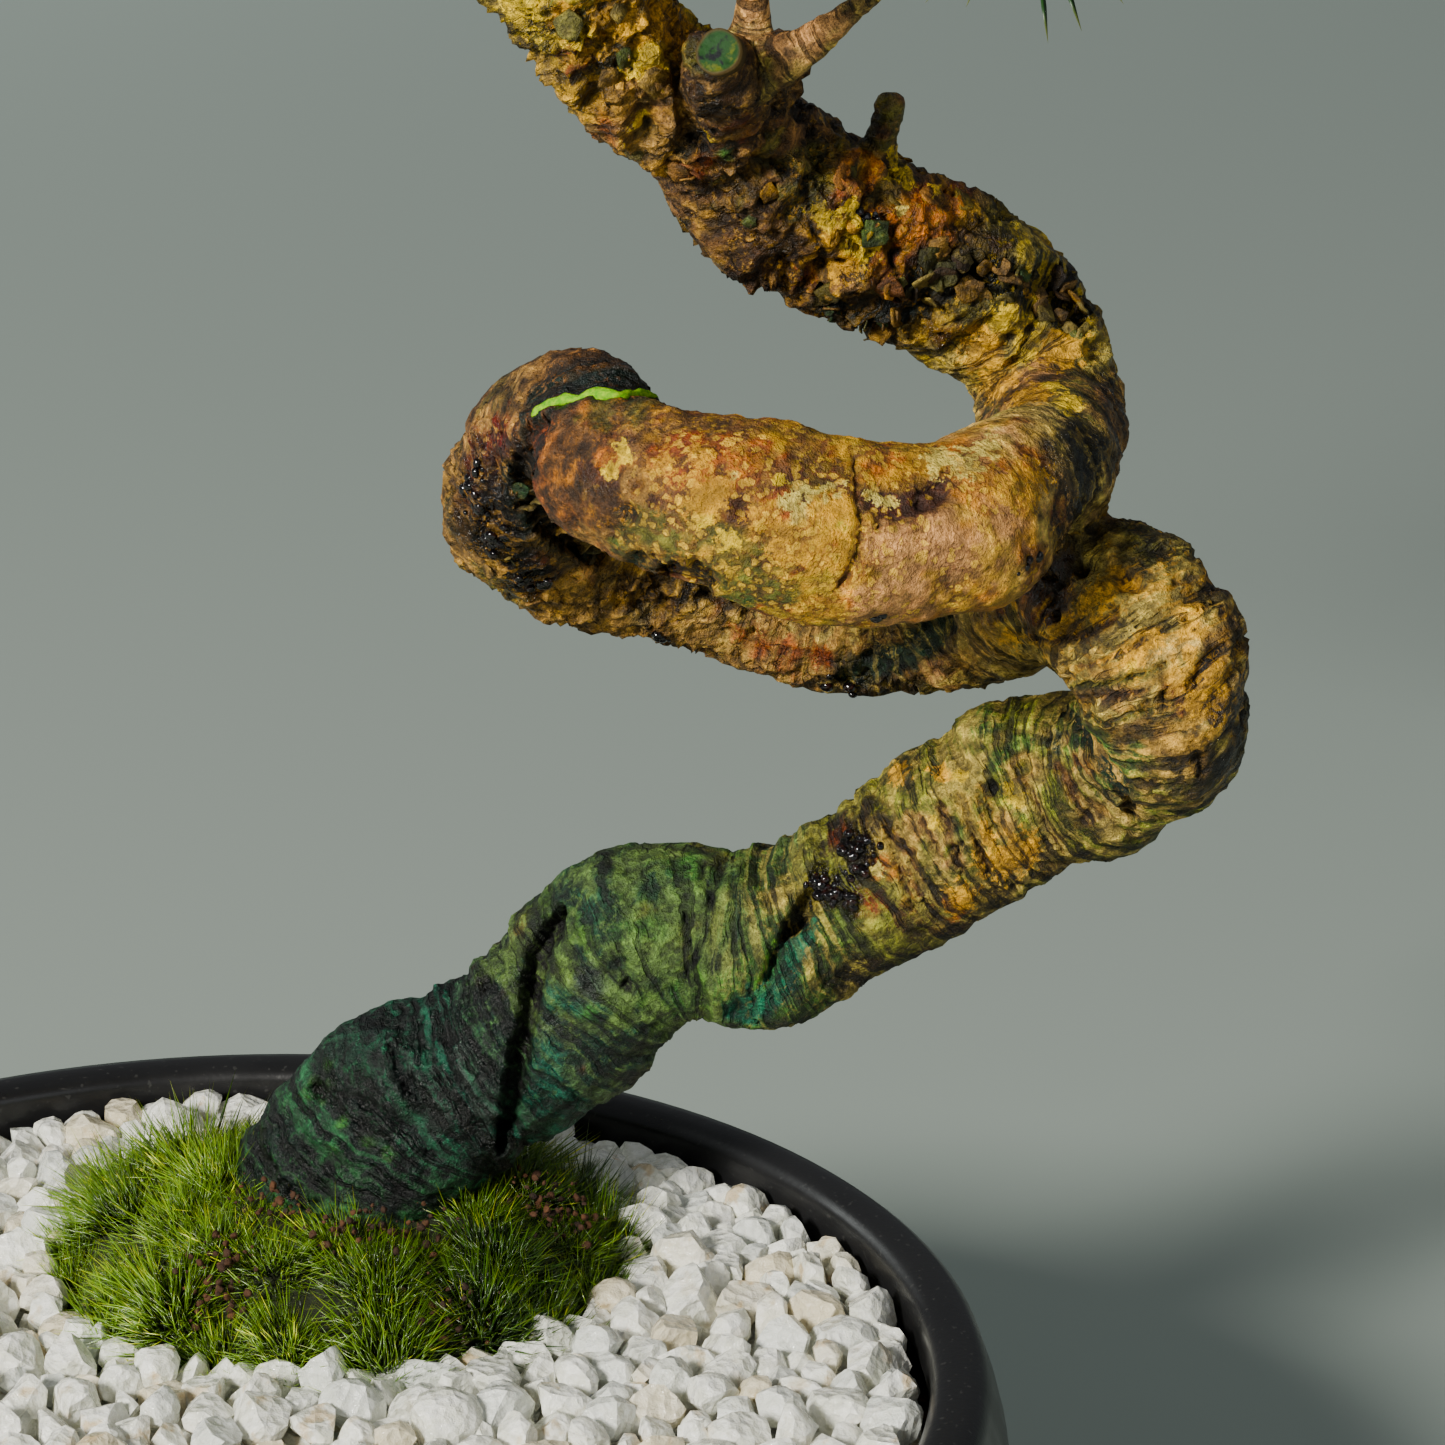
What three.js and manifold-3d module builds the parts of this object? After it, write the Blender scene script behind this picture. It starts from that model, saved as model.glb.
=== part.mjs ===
// A Japanese black pine bonsai with a coiled trunk, in a round black pot.
// White gravel covers the soil, and a mound of moss stands round the foot of the trunk.
// Millimetres, +Z up, the viewer looks along +Y. The origin is the centre of the pot's flat base.
import * as THREE from "three";
import { mergeVertices } from "three/addons/utils/BufferGeometryUtils.js";
import Module from "manifold-3d";

const wasm = await Module();
wasm.setup();

const UP_Y = new THREE.Vector3(0, 1, 0);

// Clearance that neighbouring pieces keep where they touch.
const GAP = 0.3;

// The pot: a bowl with a rolled rim.
const POT_HEIGHT = 76;
const RIM_RADIUS = 94;
const RIM_INNER_RADIUS = 87.5;
const BELLY_RADIUS = 98;
const BASE_RADIUS = 62;
const WALL = 5;
const FLOOR = 7;
const POT_SIDES = 36;
const DRAIN_COUNT = 3;
const DRAIN_RADIUS = 6;
const DRAIN_CIRCLE = 32;

// A square of plastic net lies over each drain hole and keeps the soil in.
const NET_SIDE = 20;
const NET_THICKNESS = 1.2;
const NET_HOLES = 2;
const NET_BAR = 1.8;

// The fillings, from the floor up.
const SOIL_TOP = 62;
const GRAVEL_TOP = 68.5;
const FILL_SIDES = 36;

// White quartz stones, in rings from the wall inwards.
const STONE_SPACING = 11.5;
const STONE_HALF_SIZE = 5.3;
const STONE_SIDES = 4;
const STONE_TILT = 0.5;
const STONE_OUTER_RING = 80.5;

// The moss: an elliptical mound of rounded tufts on the soil, in a hole in the gravel.
const MOSS_CENTRE = new THREE.Vector2(12, 37);
const MOSS_RADII = new THREE.Vector2(37, 33);
const MOSS_HEIGHT = 16;
const MOSS_SUNK = 4;
const MOSS_ROUND = 0.93;
const MOSS_TUFT_RISE = 2.4;
const MOSS_RINGS = 10;
const MOSS_SECTORS = 36;

// The trunk's route from the root end to the tip: x, y, z and radius, chosen by hand.
// It leans right, turns back on itself, coils once round and climbs left to the crown.
const TRUNK_ROUTE = [
  [11, 41, 47, 11],
  [11, 41, 58, 15],
  [12, 40.5, 71, 17],
  [16.5, 39.5, 83, 14.8],
  [23, 39, 92.5, 12.8],
  [33, 39, 98.5, 12.5],
  [42.5, 38, 106.5, 11.9],
  [50.5, 37, 114.5, 11.6],
  [58, 36, 117.5, 10.8],
  [67.5, 35, 117.5, 11.3],
  [77.5, 34, 122, 10.5],
  [87.5, 33, 129, 10.9],
  [98, 32, 136, 11.2],
  [107, 28.5, 141, 10.6],
  [113.5, 21, 147, 10.2],
  [115, 13.5, 155, 10.5],
  [112, 11.5, 163, 10.9],
  [107.5, 18, 167.5, 9.9],
  [102, 29, 164.5, 9.2],
  [95, 41, 159.5, 8.9],
  [87, 49, 154.5, 9],
  [78, 53, 153.5, 9.2],
  [68, 54, 155, 9.1],
  [56.5, 53, 159, 8.9],
  [45.5, 50, 162.5, 9.2],
  [39, 43.5, 167.5, 9.5],
  [37.5, 33.5, 176, 9.2],
  [41, 24, 185.5, 8.9],
  [46, 13, 190.3, 8.5],
  [49, 2, 188.5, 8.8],
  [57, -5, 187.5, 9.7],
  [66, -7, 185.5, 10.3],
  [76.5, -6, 183, 10.4],
  [87, -3, 182.5, 9.7],
  [95, 5, 184, 8.8],
  [100.5, 16, 184.5, 7.8],
  [102.5, 30, 183.5, 8.3],
  [102.5, 41, 182.5, 9.1],
  [101, 46.5, 189, 9.4],
  [96.5, 46.5, 195.5, 9.8],
  [88.5, 42, 202, 10.4],
  [76.5, 36, 208.5, 10.6],
  [67.5, 31, 215.5, 10],
  [59.5, 26, 224, 9],
  [53, 21.5, 230.5, 8.9],
  [47.5, 16.5, 238, 9.4],
  [42, 12, 246.5, 9.2],
  [35, 8, 256, 8.8],
  [27, 5, 266, 8.4],
  [20.5, 3, 277, 7.9],
  [18, 2, 289, 7.3],
  [22.5, 2, 300, 6.7],
  [31.5, 3, 309, 6],
  [39.5, 4, 318.5, 5.3],
  [42, 4, 330, 4.6],
  [39, 3, 342, 3.9],
  [34.5, 2, 354, 3.2],
  [32.5, 2, 366, 2.5],
  [33, 2, 378, 1.9],
];
const TRUNK_SIDES = 10;
const TRUNK_STEP = 6.5;
const TRUNK_LOBES = 0.045;

// The trunk is swept in stretches that part in the middle of each tight bend, each end sunk in the next.
const TRUNK_PARTS_AT = [16, 27, 38];
const SUNK_LENGTH = 3;
const SUNK_SHARE = 0.7;

// A free end of wood is drawn in to this share of its width over this length.
const CAP_LENGTH = 0.5;
const CAP_SHARE = 0.72;

// The stretch of the route, counted in points, that stands in the soil and the moss.
const TRUNK_FOOT_POINTS = 9;
const WOOD_CLEARANCE = 0.4;

// The boughs and twigs that end in foliage: x, y, z and radius, from inside the trunk outwards.
const LIMB_SIDES = 6;
const LIMB_STEP = 12;
const BOUGHS = {
  left: [[25, 5, 268, 5.6], [10, 7, 271, 4.6], [-10, 10, 273, 3.7], [-34, 13, 277, 2.9], [-50, 14, 283, 2.2]],
  right: [[22, 3, 276, 5.2], [40, 0, 279, 4.4], [64, -4, 282, 3.6], [92, -8, 285, 2.7], [106, -9, 291, 2.1]],
  back: [[20, 5, 280, 4.8], [20, 22, 283, 3.9], [25, 44, 286, 3], [29, 60, 292, 2.1]],
  front: [[19, 2, 288, 4.4], [21, -14, 288, 3.6], [28, -32, 289, 2.8], [34, -46, 294, 2]],
  upperRight: [[35, 3, 313, 4], [50, 3, 320, 3.3], [65, 4, 329, 2.6], [74, 4, 338, 1.9]],
  upperLeft: [[41, 4, 328, 3.5], [26, 6, 334, 2.9], [6, 8, 340, 2.3], [-8, 9, 349, 1.8]],
  thinTwig: [[64, 10, 232, 2.2], [65.5, 9, 240, 1.8], [63, 3, 249, 1.6], [58, -10, 255, 1.4]],
  smallTwig: [[64, 8, 232, 2.2], [71, 6, 236, 1.8], [77, 4, 241, 1.6], [82, 1, 246, 1.5], [88, -14, 253, 1.4]],
};

// The old branch below the crown, cut short, its second fork, and a small snag on the trunk.
const STUBS = [
  [[59, 24, 223, 7.5], [63, 16, 228.5, 6], [62, 6, 232.5, 4.6], [61, 0, 235.5, 4.1]],
  [[61, 24, 226, 7], [68, 22, 231, 5], [70, 21, 234, 3]],
  [[80, 33, 215, 2.2], [81, 31, 220.5, 1.9], [82, 30, 226, 1.8]],
];

// Roots in the soil.
const ROOTS = [
  [[8, 40, 58, 6], [-8, 36, 50, 4], [-26, 30, 40, 2]],
  [[14, 37, 58, 6], [26, 22, 50, 4], [34, 4, 40, 2]],
  [[13, 45, 58, 6], [22, 58, 50, 4], [32, 68, 42, 2]],
];

// Each foliage pad: its name, bough, middle, half sizes, the way it faces and its number of tufts.
const PADS = [
  ["foliage_left", BOUGHS.left, [-62, 16, 291], [42, 32], [-0.2, 0, 1], 8],
  ["foliage_right", BOUGHS.right, [118, -10, 299], [36, 29], [0.2, 0, 1], 7],
  ["foliage_back", BOUGHS.back, [31, 72, 300], [34, 28], [0, 0.2, 1], 6],
  ["foliage_front", BOUGHS.front, [38, -57, 302], [32, 25], [0, -0.2, 1], 6],
  ["foliage_upper_right", BOUGHS.upperRight, [82, 5, 347], [30, 26], [0.2, 0, 1], 6],
  ["foliage_upper_left", BOUGHS.upperLeft, [-18, 9, 357], [27, 24], [-0.2, 0, 1], 5],
  ["foliage_crown", TRUNK_ROUTE, [33, 2, 392], [30, 26], [0, 0, 1], 7],
  ["foliage_small_twig", BOUGHS.smallTwig, [91, -26, 258], [0, 0], [0.2, -0.8, 0.3], 1],
  ["foliage_thin_twig", BOUGHS.thinTwig, [54, -22, 259], [0, 0], [-0.3, -0.8, 0.3], 1],
];
const PAD_DOME = 9;
const STEM_LENGTH = 4;
const STEM_RADIUS = 1.4;
const SHOOT_RADIUS = 1.1;
const GOLDEN_ANGLE = Math.PI * (3 - Math.sqrt(5));

// Each tuft: rings round a slim core, and needles that lean out less towards its top.
const TUFT_LEAN = 0.75;
const TUFT_SIDES = 5;
const TUFT_ROWS = 3;
const CORE_LENGTH = 7;
const CORE_RADIUS = 1.3;
const NEEDLE_LENGTH = 22;
const NEEDLE_LEAN = 0.92;

const MATERIALS = {
  pot: { color: 0x1a1b1c, roughness: 0.42, metalness: 0 },
  net: { color: 0x2b2f2c, roughness: 0.6, metalness: 0 },
  soil: { color: 0x3a2a1d, roughness: 1, metalness: 0 },
  gravel: { color: 0xe9e8e2, roughness: 0.5, metalness: 0 },
  moss: { color: 0x6f8f1e, roughness: 0.9, metalness: 0 },
  bark: { color: 0x7d6430, roughness: 0.85, metalness: 0 },
  needles: { color: 0x2f5a25, roughness: 0.6, metalness: 0 },
};

// Seeded numbers from 0 to 1, the same on each run.
function randomFrom(seed) {
  let state = seed;
  return () => {
    state = (state + 0x6d2b79f5) | 0;
    let mixed = Math.imul(state ^ (state >>> 15), 1 | state);
    mixed = (mixed + Math.imul(mixed ^ (mixed >>> 7), 61 | mixed)) ^ mixed;
    return ((mixed ^ (mixed >>> 14)) >>> 0) / 4294967296;
  };
}

// A closed three.js geometry as a solid that can be joined and cut.
function solidOf(geometry) {
  const bare = geometry.clone();
  bare.deleteAttribute("normal");
  bare.deleteAttribute("uv");
  const merged = mergeVertices(bare, 1e-4);
  return new wasm.Manifold(
    new wasm.Mesh({
      numProp: 3,
      vertProperties: merged.getAttribute("position").array,
      triVerts: new Uint32Array(merged.index.array),
    }),
  );
}

// A joined solid as a named mesh.
function meshOf(name, solid, materialName) {
  const made = solid.getMesh();
  const geometry = new THREE.BufferGeometry();
  geometry.setAttribute("position", new THREE.BufferAttribute(Float32Array.from(made.vertProperties), 3));
  geometry.setIndex(new THREE.BufferAttribute(Uint32Array.from(made.triVerts), 1));
  geometry.computeVertexNormals();
  const mesh = new THREE.Mesh(geometry, new THREE.MeshStandardMaterial(MATERIALS[materialName]));
  mesh.name = name;
  return mesh;
}

function unionOf(solids) {
  return wasm.Manifold.union(solids);
}

// A turned solid about Z, from its profile of radius and height.
function turned(profile, sides) {
  const points = profile.map(([radius, height]) => new THREE.Vector2(radius, height));
  return solidOf(new THREE.LatheGeometry(points, sides).rotateX(Math.PI / 2));
}

function box(width, depth, height, x, y, z) {
  return solidOf(new THREE.BoxGeometry(width, depth, height).translate(x, y, z));
}

function pointsFrom(route) {
  return route.map(([x, y, z]) => new THREE.Vector3(x, y, z));
}

// Rings of points across a route, without twist, with the trunk's slight lobes where asked.
function ringsAlong(route, { sides, step, grow = 0, lobes = 0 }) {
  const spine = new THREE.CatmullRomCurve3(pointsFrom(route), false, "catmullrom", 0.5);
  const girth = new THREE.CatmullRomCurve3(
    route.map(([, , , radius]) => new THREE.Vector3(radius, 0, 0)),
    false,
    "catmullrom",
    0.5,
  );
  const spans = route.length - 1;
  const rings = [];
  let across = null;
  let travelled = 0;
  let before = null;
  for (let span = 0; span < spans; span += 1) {
    const chord = pointsFrom([route[span], route[span + 1]]);
    const pieces = Math.max(1, Math.round(chord[0].distanceTo(chord[1]) / step));
    const last = span === spans - 1 ? pieces : pieces - 1;
    for (let piece = 0; piece <= last; piece += 1) {
      const t = (span + piece / pieces) / spans;
      const centre = spine.getPoint(t);
      const along = spine.getTangent(t);
      if (across === null) {
        across = new THREE.Vector3(0, 1, 0).cross(along);
        if (across.length() < 0.1) across.set(1, 0, 0);
      }
      across.addScaledVector(along, -across.dot(along)).normalize();
      const third = along.clone().cross(across);
      travelled += before ? before.distanceTo(centre) : 0;
      before = centre;
      const radius = girth.getPoint(t).x;
      const ring = [];
      for (let side = 0; side < sides; side += 1) {
        const angle = (2 * Math.PI * side) / sides;
        const twoLobes = Math.cos(2 * angle - travelled * 0.045);
        const threeLobes = 0.7 * Math.cos(3 * angle + travelled * 0.06);
        const reach = radius * (1 + lobes * (twoLobes + threeLobes)) + grow;
        ring.push(
          centre
            .clone()
            .addScaledVector(across, Math.cos(angle) * reach)
            .addScaledVector(third, Math.sin(angle) * reach),
        );
      }
      rings.push({ station: span + piece / pieces, centre: centre.clone(), along: along.clone(), ring });
    }
  }
  return rings;
}

// A ring moved along the route and drawn in, for a rounded end or one that sinks into the next stretch.
function drawnIn({ centre, along, ring }, distance, share) {
  const moved = centre.clone().addScaledVector(along, distance);
  return { ring: ring.map((point) => point.clone().sub(centre).multiplyScalar(share).add(moved)) };
}

// The closed skin over a row of rings.
function skinned(rings) {
  const sides = rings[0].ring.length;
  const positions = rings.flatMap(({ ring }) => ring.flatMap((point) => point.toArray()));
  const index = [];
  for (let row = 0; row < rings.length - 1; row += 1) {
    for (let side = 0; side < sides; side += 1) {
      const next = (side + 1) % sides;
      const a = row * sides + side;
      const b = row * sides + next;
      index.push(a, b, b + sides, a, b + sides, a + sides);
    }
  }
  const lastRow = (rings.length - 1) * sides;
  for (let side = 1; side < sides - 1; side += 1) {
    index.push(0, side + 1, side);
    index.push(lastRow, lastRow + side, lastRow + side + 1);
  }
  const geometry = new THREE.BufferGeometry();
  geometry.setAttribute("position", new THREE.Float32BufferAttribute(positions, 3));
  geometry.setIndex(index);
  return solidOf(geometry);
}

// A limb that starts inside the wood and ends blunt.
function limb(route, { grow = 0 } = {}) {
  const rings = ringsAlong(route, { sides: LIMB_SIDES, step: LIMB_STEP, grow });
  const cap = drawnIn(rings[rings.length - 1], CAP_LENGTH + grow, CAP_SHARE);
  return skinned([...rings, cap]);
}

// The trunk from its root end to the tip, joined from its stretches.
function trunkSolid({ grow = 0, upTo = TRUNK_ROUTE.length } = {}) {
  const route = TRUNK_ROUTE.slice(0, upTo);
  const rings = ringsAlong(route, { sides: TRUNK_SIDES, step: TRUNK_STEP, grow, lobes: TRUNK_LOBES });
  const cuts = [0, ...TRUNK_PARTS_AT.filter((station) => station < upTo), route.length - 1];
  const stretches = [];
  for (let n = 0; n < cuts.length - 1; n += 1) {
    const own = rings.filter(({ station }) => station >= cuts[n] && station <= cuts[n + 1]);
    const first = own[0];
    const last = own[own.length - 1];
    const capLength = CAP_LENGTH + grow;
    const start =
      n === 0
        ? [drawnIn(first, -capLength, CAP_SHARE), first]
        : [drawnIn(first, -SUNK_LENGTH, SUNK_SHARE), drawnIn(first, 0, 0.97)];
    const end =
      n === cuts.length - 2
        ? drawnIn(last, capLength, CAP_SHARE)
        : drawnIn(last, SUNK_LENGTH, SUNK_SHARE);
    stretches.push(skinned([...start, ...own.slice(1), end]));
  }
  return unionOf(stretches);
}

// The bowl: outside up to the rolled rim, then inside down to the floor, with its drain holes cut through.
function potSolid() {
  const bowl = turned(
    [
      [0, 0],
      [BASE_RADIUS, 0],
      [BASE_RADIUS + 16, 9],
      [BELLY_RADIUS - 7, 24],
      [BELLY_RADIUS - 1.5, 39],
      [BELLY_RADIUS, 54],
      [BELLY_RADIUS - 1, 66],
      [RIM_RADIUS + 1, 73],
      [RIM_RADIUS - 1.5, POT_HEIGHT],
      [RIM_INNER_RADIUS + 2, POT_HEIGHT],
      [RIM_INNER_RADIUS, POT_HEIGHT - 1.6],
      [RIM_INNER_RADIUS, POT_HEIGHT - 7],
      [BELLY_RADIUS - WALL, 54],
      [BELLY_RADIUS - WALL - 4, 34],
      [BASE_RADIUS + 14, 16],
      [BASE_RADIUS - 2, FLOOR],
      [0, FLOOR],
    ],
    POT_SIDES,
  );
  const drain = new THREE.CylinderGeometry(DRAIN_RADIUS, DRAIN_RADIUS, 3 * FLOOR, 16).rotateX(Math.PI / 2);
  return bowl.subtract(unionOf(drainCentres().map(([x, y]) => solidOf(drain.clone().translate(x, y, 0)))));
}

function drainCentres() {
  return Array.from({ length: DRAIN_COUNT }, (_, n) => {
    const angle = Math.PI / 2 + (2 * Math.PI * n) / DRAIN_COUNT;
    return [DRAIN_CIRCLE * Math.cos(angle), DRAIN_CIRCLE * Math.sin(angle)];
  });
}

// One square of plastic net, with its square holes.
function netSolid(x, y) {
  const z = FLOOR + GAP + NET_THICKNESS / 2;
  const hole = (NET_SIDE - (NET_HOLES + 1) * NET_BAR) / NET_HOLES;
  const holes = [];
  for (let row = 0; row < NET_HOLES; row += 1) {
    for (let column = 0; column < NET_HOLES; column += 1) {
      const holeX = x - NET_SIDE / 2 + NET_BAR + hole / 2 + column * (hole + NET_BAR);
      const holeY = y - NET_SIDE / 2 + NET_BAR + hole / 2 + row * (hole + NET_BAR);
      holes.push(box(hole, hole, 2 * NET_THICKNESS, holeX, holeY, z));
    }
  }
  return box(NET_SIDE, NET_SIDE, NET_THICKNESS, x, y, z).subtract(unionOf(holes));
}

// The soil fills the bowl up to the gravel, over the nets, with room for the trunk's foot and the roots.
function soilSolid(woodInSoil) {
  const inset = GAP + 0.4;
  const soil = turned(
    [
      [0, FLOOR + GAP],
      [BASE_RADIUS - 3, FLOOR + GAP],
      [BASE_RADIUS + 14 - inset, 16.5],
      [BELLY_RADIUS - WALL - 4 - inset, 34.2],
      [BELLY_RADIUS - WALL - inset, 54],
      [BELLY_RADIUS - WALL - 3 - inset, SOIL_TOP],
      [0, SOIL_TOP],
    ],
    POT_SIDES,
  );
  const room = NET_SIDE + 2 * GAP;
  const pockets = drainCentres().map(([x, y]) =>
    box(room, room, 2 * (NET_THICKNESS + 2 * GAP), x, y, FLOOR + GAP),
  );
  return soil.subtract(unionOf(pockets)).subtract(woodInSoil);
}

// One broken stone: a blunt block that narrows upwards, tilted and turned at random.
function stone(random, x, y) {
  const size = STONE_HALF_SIZE * (0.86 + 0.16 * random());
  const height = size * (1.15 + 0.5 * random());
  const geometry = new THREE.CylinderGeometry(size * (0.45 + 0.25 * random()), size, height, STONE_SIDES)
    .rotateX(Math.PI / 2)
    .scale(1, 0.78 + 0.2 * random(), 1)
    .rotateX((random() - 0.5) * 2 * STONE_TILT)
    .rotateY((random() - 0.5) * 2 * STONE_TILT)
    .rotateZ(random() * 2 * Math.PI);
  return solidOf(geometry.translate(x, y, GRAVEL_TOP + 0.12 * height));
}

function mossShare(x, y) {
  return Math.hypot((x - MOSS_CENTRE.x) / MOSS_RADII.x, (y - MOSS_CENTRE.y) / MOSS_RADII.y);
}

// An upright elliptical plug, to cut the moss hole in the gravel.
function mossPlug(grow) {
  return solidOf(
    new THREE.CylinderGeometry(1, 1, 40, MOSS_SECTORS)
      .rotateX(Math.PI / 2)
      .scale(MOSS_RADII.x + grow, MOSS_RADII.y + grow, 1)
      .translate(MOSS_CENTRE.x, MOSS_CENTRE.y, GRAVEL_TOP),
  );
}

// The gravel: a bed with its top stones standing out of it.
function gravelSolid() {
  const random = randomFrom(7);
  const stones = [];
  for (let ring = STONE_OUTER_RING; ring > 0; ring -= STONE_SPACING) {
    const count = Math.max(1, Math.round((2 * Math.PI * ring) / STONE_SPACING));
    const start = random() * Math.PI;
    for (let n = 0; n < count; n += 1) {
      const angle = start + (2 * Math.PI * n) / count;
      const x = ring * Math.cos(angle);
      const y = ring * Math.sin(angle);
      if (mossShare(x, y) > 1.1) stones.push(stone(random, x, y));
    }
  }
  const bed = turned(
    [
      [0, SOIL_TOP + GAP],
      [RIM_INNER_RADIUS - 1, SOIL_TOP + GAP],
      [RIM_INNER_RADIUS - 1.6, GRAVEL_TOP],
      [0, GRAVEL_TOP],
    ],
    FILL_SIDES,
  );
  const inside = RIM_INNER_RADIUS - GAP - 0.4;
  const wallClear = turned([[0, 0], [inside, 0], [inside, 2 * POT_HEIGHT], [0, 2 * POT_HEIGHT]], FILL_SIDES);
  return unionOf([bed, ...stones]).intersect(wallClear).subtract(mossPlug(GAP));
}

// The moss: a dome raised in rounded tufts, closed below by the soil.
function mossSolid(woodInMoss) {
  const heightAt = (share, angle) => {
    const tufts = Math.cos(share * 17 + 1.3 * Math.sin(3 * angle)) * Math.cos(angle * 9 + share * 6);
    const dome = (MOSS_HEIGHT + MOSS_SUNK) * Math.sqrt(1 - MOSS_ROUND * share * share) - MOSS_SUNK;
    return GRAVEL_TOP + dome + MOSS_TUFT_RISE * tufts * Math.sqrt(share);
  };
  const point = (share, angle, z) => [
    MOSS_CENTRE.x + MOSS_RADII.x * share * Math.cos(angle),
    MOSS_CENTRE.y + MOSS_RADII.y * share * Math.sin(angle),
    z,
  ];
  const rows = [];
  for (let ring = 1; ring <= MOSS_RINGS; ring += 1) {
    const share = ring / MOSS_RINGS;
    rows.push({ share, z: (angle) => heightAt(share, angle) });
  }
  rows.push({ share: 1, z: () => SOIL_TOP + GAP });
  const positions = [...point(0, 0, heightAt(0, 0)), ...point(0, 0, SOIL_TOP + GAP)];
  for (const { share, z } of rows) {
    for (let sector = 0; sector < MOSS_SECTORS; sector += 1) {
      const angle = (2 * Math.PI * sector) / MOSS_SECTORS;
      positions.push(...point(share, angle, z(angle)));
    }
  }
  const index = [];
  const corner = (row, sector) => 2 + row * MOSS_SECTORS + (sector % MOSS_SECTORS);
  for (let sector = 0; sector < MOSS_SECTORS; sector += 1) {
    index.push(0, corner(0, sector), corner(0, sector + 1));
    index.push(1, corner(rows.length - 1, sector + 1), corner(rows.length - 1, sector));
    for (let row = 0; row < rows.length - 1; row += 1) {
      const inner = [corner(row, sector), corner(row, sector + 1)];
      const outer = [corner(row + 1, sector), corner(row + 1, sector + 1)];
      index.push(inner[0], outer[0], outer[1], inner[0], outer[1], inner[1]);
    }
  }
  const geometry = new THREE.BufferGeometry();
  geometry.setAttribute("position", new THREE.Float32BufferAttribute(positions, 3));
  geometry.setIndex(index);
  return solidOf(geometry).subtract(woodInMoss);
}

// A straight stick that narrows from one point to another.
function stick(from, to, startRadius, endRadius, sides) {
  const length = from.distanceTo(to);
  const geometry = new THREE.CylinderGeometry(endRadius, startRadius, length, sides);
  const turn = new THREE.Quaternion().setFromUnitVectors(UP_Y, to.clone().sub(from).normalize());
  return solidOf(geometry.translate(0, length / 2, 0).applyQuaternion(turn).translate(...from.toArray()));
}

// One tuft: a slim core of rings, with a three-sided needle drawn out of every other face.
function tuft(base, direction, random) {
  const side = new THREE.Vector3(0.3, 1, 0).cross(direction).normalize();
  const other = direction.clone().cross(side);
  const spin = random() * 2 * Math.PI;
  const heading = (angle, lean) =>
    direction
      .clone()
      .multiplyScalar(Math.cos(lean))
      .addScaledVector(side, Math.cos(angle) * Math.sin(lean))
      .addScaledVector(other, Math.sin(angle) * Math.sin(lean));
  const points = [];
  const index = [];
  const angleAt = (row, n) => spin + (2 * Math.PI * (n + row / 2)) / TUFT_SIDES;
  for (let row = 0; row <= TUFT_ROWS; row += 1) {
    for (let n = 0; n < TUFT_SIDES; n += 1) {
      const along = base.clone().addScaledVector(direction, (CORE_LENGTH * row) / TUFT_ROWS);
      points.push(along.addScaledVector(heading(angleAt(row, n), Math.PI / 2), CORE_RADIUS));
    }
  }
  const corner = (row, n) => row * TUFT_SIDES + (n % TUFT_SIDES);
  const needle = (a, b, c, angle, lean) => {
    const middle = points[a].clone().add(points[b]).add(points[c]).divideScalar(3);
    const length = NEEDLE_LENGTH * (0.9 + 0.2 * random());
    const tip = points.push(middle.addScaledVector(heading(angle, lean), length)) - 1;
    index.push(a, b, tip, b, c, tip, c, a, tip);
  };
  for (let row = 0; row < TUFT_ROWS; row += 1) {
    const lean = NEEDLE_LEAN * (1 - (0.62 * (row + 0.5)) / TUFT_ROWS);
    for (let n = 0; n < TUFT_SIDES; n += 1) {
      const above = corner(row + 1, n);
      needle(corner(row, n), corner(row, n + 1), above, angleAt(row, n + 0.5), lean);
      index.push(above, corner(row, n + 1), corner(row + 1, n + 1));
    }
  }
  const top = points.push(base.clone().addScaledVector(direction, CORE_LENGTH + CORE_RADIUS / 2)) - 1;
  const foot = points.push(base.clone()) - 1;
  for (let n = 0; n < TUFT_SIDES; n += 1) {
    const a = corner(TUFT_ROWS, n);
    const b = corner(TUFT_ROWS, n + 1);
    needle(a, b, top, angleAt(TUFT_ROWS, n + 0.5), NEEDLE_LEAN * 0.2);
    index.push(corner(0, n + 1), corner(0, n), foot);
  }
  const geometry = new THREE.BufferGeometry();
  const positions = points.flatMap((point) => point.toArray());
  geometry.setAttribute("position", new THREE.Float32BufferAttribute(positions, 3));
  geometry.setIndex(index);
  return solidOf(geometry);
}

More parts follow.
